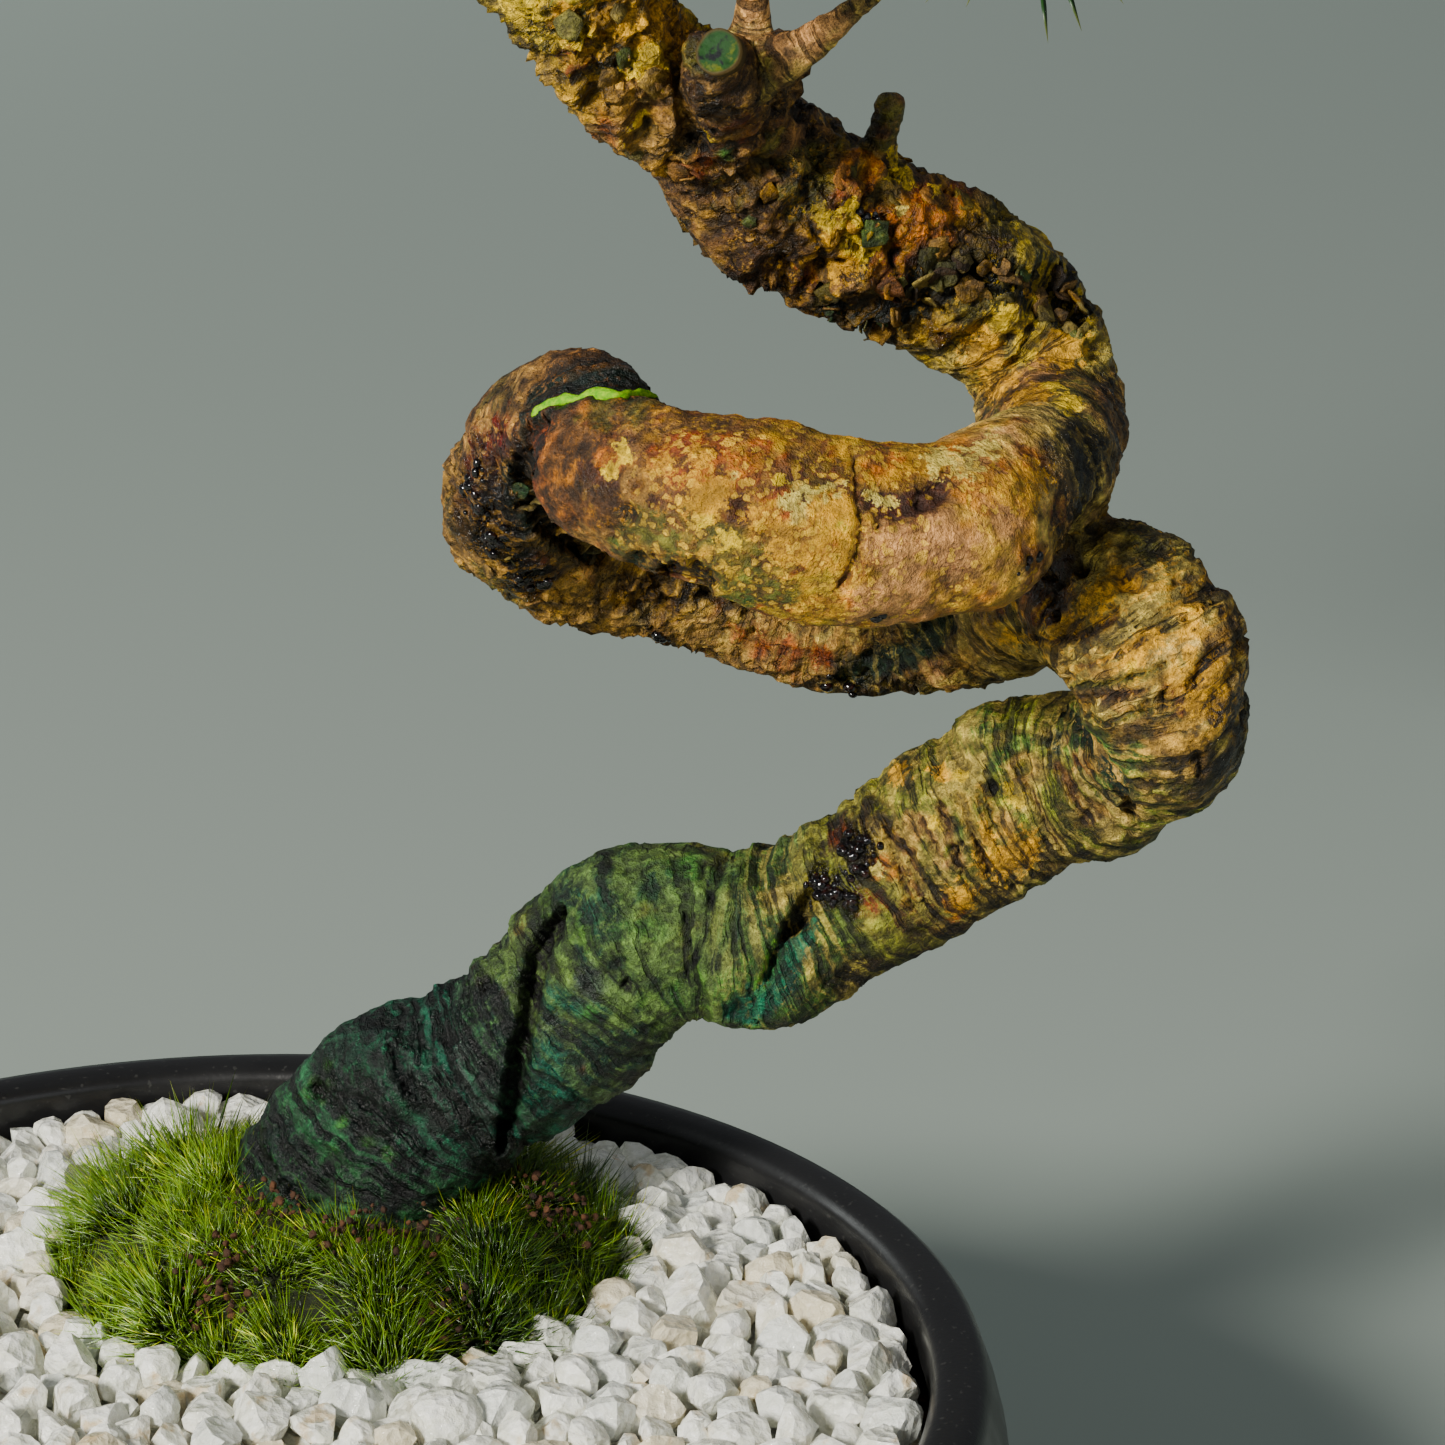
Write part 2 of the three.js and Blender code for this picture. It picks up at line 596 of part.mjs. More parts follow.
// One pad of foliage: a stem from the bough's end, and shoots that fan out from it to the tufts.
function padSolid([, bough, middle, reach, facing, tufts], seed) {
  const random = randomFrom(seed);
  const [beforeLast, last] = pointsFrom(bough.slice(-2));
  const outward = last.clone().sub(beforeLast).normalize();
  const start = last.clone().addScaledVector(outward, CAP_LENGTH + GAP);
  const stemEnd = start.clone().addScaledVector(outward, STEM_LENGTH);
  const centre = new THREE.Vector3(...middle);
  const face = new THREE.Vector3(...facing).normalize();
  const hub = centre.clone().addScaledVector(face, -PAD_DOME / 2);
  const insideStem = stemEnd.clone().addScaledVector(outward, -1);
  const solids = [
    stick(start, stemEnd, STEM_RADIUS, STEM_RADIUS, TUFT_SIDES),
    stick(insideStem, hub, SHOOT_RADIUS, SHOOT_RADIUS, TUFT_SIDES),
  ];
  for (let n = 0; n < tufts; n += 1) {
    const share = tufts > 1 ? Math.sqrt((n + 0.4) / (tufts - 0.5)) : 0;
    const angle = n * GOLDEN_ANGLE + seed;
    const out = new THREE.Vector3(Math.cos(angle) * share, Math.sin(angle) * share, 0);
    const rise = PAD_DOME * (1 - share * share);
    const spread = new THREE.Vector3(out.x * reach[0], out.y * reach[1], 0);
    const base = centre.clone().add(spread).addScaledVector(face, rise);
    const direction = face.clone().addScaledVector(out, TUFT_LEAN).normalize();
    const fork = stemEnd.clone().lerp(hub, 0.3 + (0.65 * (n + 0.5)) / tufts);
    const insideTuft = base.clone().addScaledVector(direction, 1);
    solids.push(stick(fork, insideTuft, SHOOT_RADIUS * 0.9, SHOOT_RADIUS * 0.7, 3));
    solids.push(tuft(base, direction, random));
  }
  return unionOf(solids);
}

const limbRoutes = [...Object.values(BOUGHS), ...STUBS, ...ROOTS];
const wood = unionOf([trunkSolid(), ...limbRoutes.map((route) => limb(route))]);
const woodRoom = unionOf([
  trunkSolid({ grow: WOOD_CLEARANCE, upTo: TRUNK_FOOT_POINTS }),
  ...ROOTS.map((route) => limb(route, { grow: WOOD_CLEARANCE })),
]);

const bonsai = new THREE.Group();
bonsai.add(meshOf("pot", potSolid(), "pot"));
drainCentres().forEach(([x, y], n) => bonsai.add(meshOf(`drain_net_${n + 1}`, netSolid(x, y), "net")));
bonsai.add(meshOf("soil", soilSolid(woodRoom), "soil"));
bonsai.add(meshOf("gravel", gravelSolid(), "gravel"));
bonsai.add(meshOf("moss_mound", mossSolid(woodRoom), "moss"));
bonsai.add(meshOf("trunk", wood, "bark"));
PADS.forEach((pad, n) => bonsai.add(meshOf(pad[0], padSolid(pad, n + 1), "needles")));

export default bonsai;
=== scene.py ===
# %% [markdown]
# # A coiled Japanese black pine in a round pot
#
# The tree is a trained pine. Its trunk leans out of a black pot, doubles back, makes one full
# coil and climbs to a crown of needle pads. White quartz gravel covers the soil, and a mound
# of moss stands round the foot of the trunk.
#
# The measured model holds every piece at its real size. This script loads it and gives each
# piece its finished form and its surface. Everything is in metres, the pot stands on z = 0,
# and the viewer looks along +Y.

# %% Load the measured model
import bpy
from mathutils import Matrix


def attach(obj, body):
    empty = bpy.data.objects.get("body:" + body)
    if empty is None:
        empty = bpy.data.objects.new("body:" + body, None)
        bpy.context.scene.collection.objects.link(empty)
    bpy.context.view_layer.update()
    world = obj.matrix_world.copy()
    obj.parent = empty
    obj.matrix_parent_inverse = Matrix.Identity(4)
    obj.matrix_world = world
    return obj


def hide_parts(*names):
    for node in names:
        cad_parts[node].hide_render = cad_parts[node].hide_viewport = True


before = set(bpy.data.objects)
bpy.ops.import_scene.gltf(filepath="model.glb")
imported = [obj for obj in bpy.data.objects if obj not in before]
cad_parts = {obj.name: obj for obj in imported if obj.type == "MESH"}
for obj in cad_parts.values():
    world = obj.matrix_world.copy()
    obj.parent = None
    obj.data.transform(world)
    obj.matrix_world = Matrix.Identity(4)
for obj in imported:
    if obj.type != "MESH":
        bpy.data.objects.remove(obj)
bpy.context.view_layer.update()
print("nodes in the measured model:", len(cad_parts))

# %% Tools for the work
import math
import bpy
import numpy as np
from mathutils import Vector, noise

MM = 0.001
UNIT = 1
FULL_TURN = 6.3  # radians, a little over one turn
print("a millimetre is", MM, "of Blender's units")

# %% [markdown]
# ## Camera
# The photograph was taken from a little above the pot with a long lens. The camera stands
# where the ellipse of the pot's rim says it stood. The same numbers turn a pixel of the
# photograph into a line of sight, which later finds the place of each knot and crack.

# %% Camera
PHOTO_SIDE = 1445
FOCAL_PIXELS = 4561.6
SENSOR_MM = 36
CAMERA_PLACE = np.array([62.0, -503.0, 332.0])
CAMERA_LOOKS_DOWN = math.radians(19.1)

bpy.ops.object.camera_add(
    location=CAMERA_PLACE * MM, rotation=(math.pi / 2 - CAMERA_LOOKS_DOWN, 0, 0)
)
camera = bpy.context.object
camera.data.sensor_width = SENSOR_MM
camera.data.lens = SENSOR_MM * FOCAL_PIXELS / PHOTO_SIDE
camera.data.clip_start = 0.01
bpy.context.scene.camera = camera


def line_of_sight(u, v):
    """The direction in which pixel (u, v) of the photograph looks."""
    right = (u - PHOTO_SIDE / 2) / FOCAL_PIXELS
    up = (PHOTO_SIDE / 2 - v) / FOCAL_PIXELS
    cosine, sine = math.cos(CAMERA_LOOKS_DOWN), math.sin(CAMERA_LOOKS_DOWN)
    ray = np.array([right, cosine + up * sine, up * cosine - sine])
    return ray / np.linalg.norm(ray)


print("lens:", round(camera.data.lens, 1), "mm")

# %% [markdown]
# ## Helpers for modelling
# An operator works on whatever is selected, and the loaded nodes are all selected. So each
# step first selects only the piece it works on. Repeated things, such as stones and needles,
# are modelled once and then copied with numpy, which turns and places thousands in one go.

# %% Helpers for modelling


def only(piece, *others):
    """Select one or more pieces and nothing else. The first is the active one."""
    bpy.ops.object.select_all(action="DESELECT")
    for chosen in (piece, *others):
        chosen.select_set(True)
    bpy.context.view_layer.objects.active = piece


def named(name):
    """The object an operator has just made, with its place, turn and size put into its mesh."""
    piece = bpy.context.object
    piece.name = name
    piece.data.name = name
    only(piece)
    bpy.ops.object.transform_apply(location=True, rotation=True, scale=True)
    return piece


def modify(piece, kind, **settings):
    """Add a modifier, set it and apply it."""
    only(piece)
    step = piece.modifiers.new(kind.lower(), kind)
    for name, value in settings.items():
        setattr(step, name, value)
    bpy.ops.object.modifier_apply(modifier=step.name)


def cut_away(piece, tool):
    """Subtract a tool from a piece, and throw the tool away."""
    modify(piece, "BOOLEAN", operation="DIFFERENCE", solver="EXACT", object=tool)
    bpy.data.objects.remove(tool)


def edit(piece, kind="FACE", action="SELECT"):
    """Go into edit mode with all of the piece selected, or nothing."""
    only(piece)
    bpy.ops.object.mode_set(mode="EDIT")
    bpy.ops.mesh.select_mode(type=kind)
    bpy.ops.mesh.select_all(action=action)


def select_faces(piece, test):
    """Go into edit mode with only the faces selected that pass the test."""
    edit(piece, action="DESELECT")
    bpy.ops.object.mode_set(mode="OBJECT")
    for face in piece.data.polygons:
        face.select = bool(test(face))
    bpy.ops.object.mode_set(mode="EDIT")


def tidy_normals(piece):
    """Merge doubles and turn every face outwards."""
    edit(piece, "VERT")
    bpy.ops.mesh.remove_doubles(threshold=0.00001)
    bpy.ops.mesh.normals_make_consistent(inside=False)
    bpy.ops.object.mode_set(mode="OBJECT")


def read(piece, field):
    """A vector for each point: "co" is its place in metres and "normal" the way it faces."""
    flat = np.empty(len(piece.data.vertices) * 3)
    piece.data.vertices.foreach_get(field, flat)
    return flat.reshape(-1, 3)


def points_of(piece, scale=MM):
    """The piece's points, in millimetres unless another scale is given."""
    return read(piece, "co") / scale


def move_points(piece, points, scale=MM):
    """Put the piece's points where the array says, in the same scale."""
    piece.data.vertices.foreach_set("co", (points * scale).ravel())
    piece.data.update()


def store(piece, name, kind, values):
    """Keep a value for each point in a named attribute, where a material can read it."""
    layer = piece.data.attributes.new(name, kind, "POINT")
    field = {"FLOAT": "value", "FLOAT_VECTOR": "vector", "FLOAT_COLOR": "color"}[kind]
    layer.data.foreach_set(field, np.asarray(values, dtype=np.float32).ravel())


def with_alpha(colours):
    """Colours with a fourth channel of 1."""
    return np.column_stack([colours, np.ones(len(colours))])


def smooth_step(value, low, high):
    """0 below low, 1 above high, and an even curve between them."""
    share = np.clip((value - low) / (high - low), 0, 1)
    return share * share * (3 - 2 * share)


def unit(vectors):
    """The same directions with length 1."""
    return vectors / np.maximum(np.linalg.norm(vectors, axis=-1, keepdims=True), 1e-9)


print("helpers ready")

# %% [markdown]
# Copies are made from arrays: a shape is modelled about one or two units long, its points and
# triangles are read once, and every copy gets a 3 by 3 turn with its size in millimetres and
# a place. All the copies of one kind become one mesh.

# %% Copies of one shape


def shape_of(piece):
    """Points in units and triangles of a modelled piece, which is then removed."""
    piece.data.calc_loop_triangles()
    corners = np.empty(len(piece.data.loop_triangles) * 3, dtype=np.int32)
    piece.data.loop_triangles.foreach_get("vertices", corners)
    shape = points_of(piece, UNIT), corners.reshape(-1, 3)
    bpy.data.objects.remove(piece)
    return shape


def mesh_from(name, points, triangles):
    """A new piece from points in millimetres and triangles."""
    mesh = bpy.data.meshes.new(name)
    mesh.vertices.add(len(points))
    mesh.vertices.foreach_set("co", (points * MM).ravel())
    mesh.loops.add(len(triangles) * 3)
    mesh.loops.foreach_set("vertex_index", triangles.ravel())
    mesh.polygons.add(len(triangles))
    mesh.polygons.foreach_set("loop_start", np.arange(len(triangles)) * 3)
    mesh.update(calc_edges=True)
    piece = bpy.data.objects.new(name, mesh)
    bpy.context.scene.collection.objects.link(piece)
    return piece


def turns_towards(directions, spins, sizes):
    """Turns that lead a shape's own +Z along each direction, spun about it and scaled."""
    upright = unit(np.asarray(directions, dtype=float))
    helper = np.where(np.abs(upright[:, 2:3]) < 0.9, [[0, 0, 1.0]], [[1.0, 0, 0]])
    side = unit(np.cross(helper, upright))
    other = np.cross(upright, side)
    cosine, sine = np.cos(spins)[:, None], np.sin(spins)[:, None]
    across = side * cosine + other * sine
    along = np.cross(upright, across)
    sizes = np.asarray(sizes, dtype=float).reshape(len(upright), -1) * np.ones(3)
    return np.stack([across, along, upright], axis=2) * sizes[:, None, :]


def copies(name, shapes, which, turns, places):
    """One mesh of many copies. Also returns, for each point, its copy and its own shape's point."""
    all_points, all_triangles, owners, sources = [], [], [], []
    start = 0
    for kind, (points, triangles) in enumerate(shapes):
        rows = np.flatnonzero(which == kind)
        if len(rows) == 0:
            continue
        placed = np.einsum("nij,vj->nvi", turns[rows], points) + places[rows][:, None, :]
        offsets = start + np.arange(len(rows)) * len(points)
        all_points.append(placed.reshape(-1, 3))
        all_triangles.append((triangles[None] + offsets[:, None, None]).reshape(-1, 3))
        owners.append(np.repeat(rows, len(points)))
        sources.append(np.tile(points, (len(rows), 1)))
        start += len(rows) * len(points)
    piece = mesh_from(name, np.vstack(all_points), np.vstack(all_triangles).astype(np.int32))
    return piece, np.concatenate(owners), np.vstack(sources)


def finish_piece(piece, slot, material, *nodes):
    """Give a piece its material, its body and the nodes it stands for. The slot is not used."""
    piece.data.materials.clear()
    piece.data.materials.append(material)
    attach(piece, "root")
    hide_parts(*nodes)
    faces = sum(len(face.vertices) - 2 for face in piece.data.polygons)
    print(piece.name, "has", faces, "triangles")


# %% [markdown]
# ## Helpers for materials
# Each finish is a small tree of nodes. This helper adds one node: settings such as the noise
# type go in a dictionary, and each input takes a number, a colour or another node's output.

# %% Helpers for materials


def tone(red, green, blue):
    """A colour given on a screen, 0 to 255, as the linear light that Blender mixes."""
    channels = np.array([red, green, blue]) / 255
    return np.where(channels < 0.04045, channels / 12.92, ((channels + 0.055) / 1.055) ** 2.4)


def colour(red, green, blue):
    """The same colour with a fourth channel, as a shader's socket wants it."""
    return (*tone(red, green, blue), 1)


class Finish:
    """A material under construction."""

    def __init__(self, name, **sockets):
        self.material = bpy.data.materials.new(name)
        self.material.use_nodes = True
        self.tree = self.material.node_tree
        self.shader = self.tree.nodes["Principled BSDF"]
        self.set(**sockets)

    def set(self, **sockets):
        """Set or link the shader's own sockets."""
        for socket, value in sockets.items():
            self.join(value, self.shader.inputs[socket.replace("_", " ")])

    def join(self, value, socket):
        """A link where the value is another node's output, and a plain value otherwise."""
        if isinstance(value, bpy.types.NodeSocket):
            self.tree.links.new(value, socket)
        else:
            socket.default_value = value

    def node(self, kind, settings=None, output=0, **inputs):
        """Add a node and return one of its outputs. Inputs go by number or name."""
        made = self.tree.nodes.new("ShaderNode" + kind)
        for name, value in (settings or {}).items():
            setattr(made, name, value)
        for name, value in inputs.items():
            key = int(name[1:]) if name[1:].isdigit() else name.replace("_", " ")
            self.join(value, made.inputs[key])
        return made.outputs[output]

    def attribute(self, name, output="Color"):
        return self.node("Attribute", {"attribute_name": name}, output)

    def place(self):
        """The point on the object, in millimetres, so that patterns have a real size."""
        here = self.node("TexCoord", output="Object")
        return self.node("VectorMath", {"operation": "SCALE"}, i0=here, Scale=1 / MM)

    def noise(self, vector, size, detail=3.0, rough=0.55, output="Fac"):
        settings = {"noise_dimensions": "3D"}
        return self.node(
            "TexNoise", settings, output, Vector=vector, Scale=1 / size, Detail=detail, Roughness=rough
        )

    def ramp(self, value, low, high, from_value=0.0, to_value=1.0):
        """Spread the range low to high of a value over another range, with smooth ends."""
        settings = {"interpolation_type": "SMOOTHSTEP"}
        return self.node("MapRange", settings, i0=value, i1=low, i2=high, i3=from_value, i4=to_value)

    def math(self, operation, first, second=0.5):
        return self.node("Math", {"operation": operation}, i0=first, i1=second)

    def times(self, first, second):
        return self.math("MULTIPLY", first, second)

    def cells(self, vector, size, output="Distance", feature="F1"):
        """Cell noise: how far the nearest cell's middle is, or a random value for each cell."""
        return self.node("TexVoronoi", {"feature": feature}, output, Vector=vector, Scale=1 / size)

    def between(self, share, first, second):
        """A number between two others."""
        return self.node("Mix", {"data_type": "FLOAT"}, i0=share, i2=first, i3=second)

    def mix(self, share, first, second, blend="MIX"):
        """Mix two colours."""
        settings = {"data_type": "RGBA", "blend_type": blend}
        return self.node("Mix", settings, 2, i0=share, i6=first, i7=second)

    def bump(self, height, depth_mm, strength=1.0, below=None):
        """A bump of a real depth, on top of another one where below is given."""
        extra = {} if below is None else {"Normal": below}
        return self.node("Bump", Height=height, Distance=depth_mm * MM, Strength=strength, **extra)


print("material helpers ready")

# %% [markdown]
# ## The pot
# A training pot of this kind is thrown on a wheel: a bowl with a rolled rim and a flat base.
# It could be a subdivided cylinder, but a wheel-thrown wall is best raised as the potter does
# it. A circle at the base is extruded and resized, ring after ring, along the wall's profile.

# %% The pot's wall
POT_OUTSIDE = [(62, 0), (78, 9), (91, 24), (96.5, 39), (98, 54), (97, 66), (95, 73)]
POT_RIM = [(94.3, 74.9), (93.2, 75.8), (91.8, 76), (90.2, 76), (88.9, 75.7), (87.9, 75), (87.5, 74)]
POT_INSIDE = [(87.5, 69), (91.5, 61), (93, 54), (89, 34), (76, 16), (60, 7)]
POT_SIDES = 144
WALL_STEP, INNER_STEP = 4, 5


def smooth_line(points, step):
    """A smooth line through all the points, with a sample about every step."""
    p = np.array(points, dtype=float)
    p = np.vstack([2 * p[0] - p[1], p, 2 * p[-1] - p[-2]])
    stretches = []
    for a, b, c, d in zip(p[:-3], p[1:-2], p[2:-1], p[3:]):
        count = max(2, int(np.linalg.norm((c - b)[:3]) / step))
        t = (np.arange(count) / count)[:, None]
        bend = (2 * a - 5 * b + 4 * c - d) * t**2 + (3 * b - a - 3 * c + d) * t**3
        stretches.append(0.5 * (2 * b + (c - a) * t + bend))
    return np.vstack(stretches + [p[-2][None]])


def raised(name, profile, sides):
    """A turned piece, raised ring by ring from the circle at the profile's start."""
    radius, height = profile[0]
    bpy.ops.mesh.primitive_circle_add(vertices=sides, radius=radius * MM, location=(0, 0, height * MM))
    edit(bpy.context.object, "EDGE")
    bpy.ops.mesh.edge_face_add()
    for next_radius, next_height in profile[1:]:
        lift = (next_height - height) * MM
        bpy.ops.mesh.extrude_edges_move(TRANSFORM_OT_translate={"value": (0, 0, lift)})
        share = next_radius / radius
        bpy.ops.transform.resize(value=(share, share, 1), center_override=(0, 0, next_height * MM))
        radius, height = next_radius, next_height
    bpy.ops.mesh.edge_face_add()
    bpy.ops.object.mode_set(mode="OBJECT")
    piece = named(name)
    tidy_normals(piece)
    return piece


wall = smooth_line(POT_OUTSIDE, WALL_STEP)[:-1].tolist() + POT_OUTSIDE[-1:] + POT_RIM
wall += smooth_line(POT_INSIDE, INNER_STEP).tolist()
pot = raised("pot_bowl", wall, POT_SIDES)
print("rings in the pot's wall:", len(wall))

# %% [markdown]
# The base has three drain holes. They are drilled with a boolean, because the cutters are
# plain cylinders.

# %% The pot's drain holes
DRAIN_RADIUS = 6
DRAIN_CIRCLE = 32
DRILL_LENGTH, DRILL_MIDDLE = 20, 4
DRAIN_ANGLES = [math.radians(90 + 120 * n) for n in range(3)]
DRAIN_PLACES = [(DRAIN_CIRCLE * math.cos(a), DRAIN_CIRCLE * math.sin(a)) for a in DRAIN_ANGLES]

for x, y in DRAIN_PLACES:
    bpy.ops.mesh.primitive_cylinder_add(
        vertices=48, radius=DRAIN_RADIUS * MM, depth=DRILL_LENGTH * MM,
        location=(x * MM, y * MM, DRILL_MIDDLE * MM),
    )
    cut_away(pot, named("drain_cutter"))
only(pot)
bpy.ops.object.shade_smooth_by_angle(angle=math.radians(40))

# %% [markdown]
# The glaze is black and satin. A broad noise changes its roughness a little, so that the
# reflection isn't even, and a fine one gives it the grain of fired clay.

# %% The pot's glaze
glaze = Finish("black_satin_glaze", IOR=1.5)
here = glaze.place()
clouds = glaze.noise(here, 14, 4)
grit = glaze.noise(here, 0.7, 2)
specks = glaze.ramp(glaze.noise(here, 0.9, 1), 0.66, 0.74)
body_tone = glaze.mix(clouds, colour(20, 20, 21), colour(31, 31, 32))
glaze.set(
    Base_Color=glaze.mix(specks, body_tone, colour(48, 48, 47)),
    Roughness=glaze.ramp(clouds, 0.3, 0.7, 0.27, 0.4),
    Normal=glaze.bump(grit, 0.05, 0.5),
)
finish_piece(pot, "pot", glaze.material, "pot")

# %% [markdown]
# ## The drain nets
# A square of plastic net lies over each hole and keeps the soil in. A grid turned into bars
# by the wireframe modifier is a moulded net. One is made, and two copies get their own mesh.

# %% The drain nets
NET_SIDE = 20
NET_CELLS = 9
NET_BAR = 0.9
NET_MIDDLE = 7.9

net_plastic = Finish("net_plastic", Roughness=0.55)
here = net_plastic.place()
fade = net_plastic.noise(here, 3, 3)
net_plastic.set(
    Base_Color=net_plastic.mix(fade, colour(30, 34, 31), colour(52, 57, 52)),
    Normal=net_plastic.bump(net_plastic.noise(here, 0.4), 0.05),
)
bpy.ops.mesh.primitive_grid_add(x_subdivisions=NET_CELLS, y_subdivisions=NET_CELLS, size=NET_SIDE * MM)
net = named("net_over_drain_1")
modify(net, "WIREFRAME", thickness=NET_BAR * MM, use_even_offset=True)
net_shape = points_of(net)
for count, (x, y) in enumerate(DRAIN_PLACES, start=1):
    piece = net
    if count > 1:
        piece = bpy.data.objects.new(f"net_over_drain_{count}", net.data.copy())
        bpy.context.scene.collection.objects.link(piece)
    move_points(piece, net_shape + [x, y, NET_MIDDLE])
    finish_piece(piece, "net", net_plastic.material, f"drain_net_{count}")

# %% [markdown]
# ## The soil
# The soil fills the bowl under the gravel and shows only through the nets. Its measured solid
# is right, so it stays and only gets the look of damp, crumbly potting soil.

# %% The soil
SOIL_CRUMB = 2.2

soil = Finish("crumbly_soil", Roughness=0.95)
here = soil.place()
crumbs = soil.cells(here, SOIL_CRUMB)
crumb_tone = soil.mix(soil.cells(here, SOIL_CRUMB, "Color"), colour(58, 40, 26), colour(104, 72, 44))
# The gaps between the crumbs are painted darker, as painted shade.
soil.set(
    Base_Color=soil.mix(soil.ramp(crumbs, 0.25, 0.7), crumb_tone, colour(26, 18, 12)),
    Normal=soil.bump(soil.ramp(crumbs, 0.0, 0.7, 1, 0), 1.2),
)
soil_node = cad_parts["soil"]
soil_node.data.materials.clear()
soil_node.data.materials.append(soil.material)
print(soil_node.name, "dressed")

# %% [markdown]
# ## The gravel
# The gravel is broken white quartz, 5 to 10 mm across. A blow leaves a stone with a few flat
# faces, and tumbling wears its edges. So each stone is a ball pressed flat by some planes and
# made lumpy. Decimate then drops the points that its flat faces don't need. A dozen stones
# are modelled, and some thousand copies are packed in two layers.

# %% A dozen quartz stones
STONE_KINDS = 12
STONE_CUTS = 9
STONE_FACES = 92
STONE_LUMPS, STONE_LUMP_HEIGHT = 2.4, 0.05
# A point moves in three directions, so the noise is read at three places far apart.
LUMP_SHIFTS = [Vector((9.3, -1.5, -8.0)), Vector((0.8, 2.8, 6.1)), Vector((-6.3, 4.9, 3.2))]


def quartz(numbers):
    """One broken stone about 2 units long."""
    bpy.ops.mesh.primitive_ico_sphere_add(subdivisions=4, radius=1)
    stone = named("quartz")
    points = points_of(stone, UNIT)
    for _ in range(STONE_CUTS):
        way = unit(numbers.normal(0, 1, 3))
        above = np.clip(points @ way - numbers.uniform(0.5, 0.86), 0, None)
        points -= above[:, None] * way
    places = [Vector(point * STONE_LUMPS) for point in points]
    lumps = [[noise.noise(place + shift) for shift in LUMP_SHIFTS] for place in places]
    points += STONE_LUMP_HEIGHT * np.array(lumps)
    points *= [1, numbers.uniform(0.72, 0.98), numbers.uniform(0.62, 0.86)]
    move_points(stone, points, UNIT)
    modify(stone, "DECIMATE", ratio=STONE_FACES / len(stone.data.polygons))
    return stone


stone_numbers = np.random.default_rng(5)
stone_shapes = [shape_of(quartz(stone_numbers)) for _ in range(STONE_KINDS)]
print("triangles of each stone:", [len(triangles) for _, triangles in stone_shapes])

# %% [markdown]
# The stones lie where a few rounds of pushing leave them: any two that overlap move apart,
# and the wall and the moss push back. The lower layer fills the gaps of the upper one.

# %% Places for the stones
MOSS_MIDDLE = np.array([12.0, 37.0])
MOSS_RADII = np.array([37.0, 33.0])
BED_RADIUS = 86.5
UPPER_STONES = 640
LOWER_STONES = 420
ROUNDS = 90
STONE_PUSH, MOSS_PUSH = 0.28, 20
MOSS_MARGIN = 48


def moss_share(x, y):
    """0 in the middle of the moss, 1 at its edge."""
    return np.hypot((x - MOSS_MIDDLE[0]) / MOSS_RADII[0], (y - MOSS_MIDDLE[1]) / MOSS_RADII[1])


def settled(count, sizes, numbers):
    """Places of that many stones in the ring between the moss and the wall."""
    angles = numbers.uniform(0, 2 * np.pi, count)
    radii = BED_RADIUS * np.sqrt(numbers.uniform(0, 1, count))
    spots = np.column_stack([radii * np.cos(angles), radii * np.sin(angles)])
    for _ in range(ROUNDS):
        gaps = spots[:, None] - spots[None]
        reach = np.linalg.norm(gaps, axis=2) + np.eye(count) * 1000
        overlap = np.clip(sizes[:, None] + sizes[None] - reach, 0, None)
        spots += STONE_PUSH * (gaps / reach[..., None] * overlap[..., None]).sum(axis=1)
        into_moss = np.clip(1 + sizes / MOSS_MARGIN - moss_share(*spots.T), 0, None)
        spots += unit(spots - MOSS_MIDDLE) * (into_moss * MOSS_PUSH)[:, None]
        radius = np.linalg.norm(spots, axis=1)
        spots *= np.minimum(1, (BED_RADIUS - sizes) / radius)[:, None]
    return spots


STONE_CREASE = math.radians(33)
STONE_CLOSENESS = 0.86  # stones come nearer to each other than their full sizes
STONE_LIFT = 0.35
gravel_numbers = np.random.default_rng(21)


def stone_layer(name, count, level, rise, smallest, largest):
    """One layer of stones as one mesh."""
    sizes = gravel_numbers.uniform(smallest, largest, count) * gravel_numbers.choice([1, 1, 1.18], count)
    spots = settled(count, sizes * STONE_CLOSENESS, gravel_numbers)
    heights = level + gravel_numbers.uniform(0, rise, count) + sizes * STONE_LIFT
    directions = gravel_numbers.normal(0, 1, (count, 3))
    turns = turns_towards(directions, gravel_numbers.uniform(0, FULL_TURN, count), sizes)
    kinds = gravel_numbers.integers(0, STONE_KINDS, count)
    places = np.column_stack([spots, heights])
    piece, owners, _ = copies(name, stone_shapes, kinds, turns, places)
    store(piece, "stone", "FLOAT", gravel_numbers.uniform(0, 1, count)[owners])
    only(piece)
    bpy.ops.object.shade_smooth_by_angle(angle=STONE_CREASE)
    return piece


upper_stones = stone_layer("gravel_stones_upper", UPPER_STONES, 68.2, 2.0, 2.6, 4.6)
lower_stones = stone_layer("gravel_stones_lower", LOWER_STONES, 64.2, 1.0, 3.2, 4.6)
print("stones placed:", UPPER_STONES + LOWER_STONES)

# %% [markdown]
# Under the stones lies the rest of the bed, of which only dark gaps show. A disc with rings
# inset into its top gives points enough for lumps, and an elliptical hole leaves room for
# the moss.

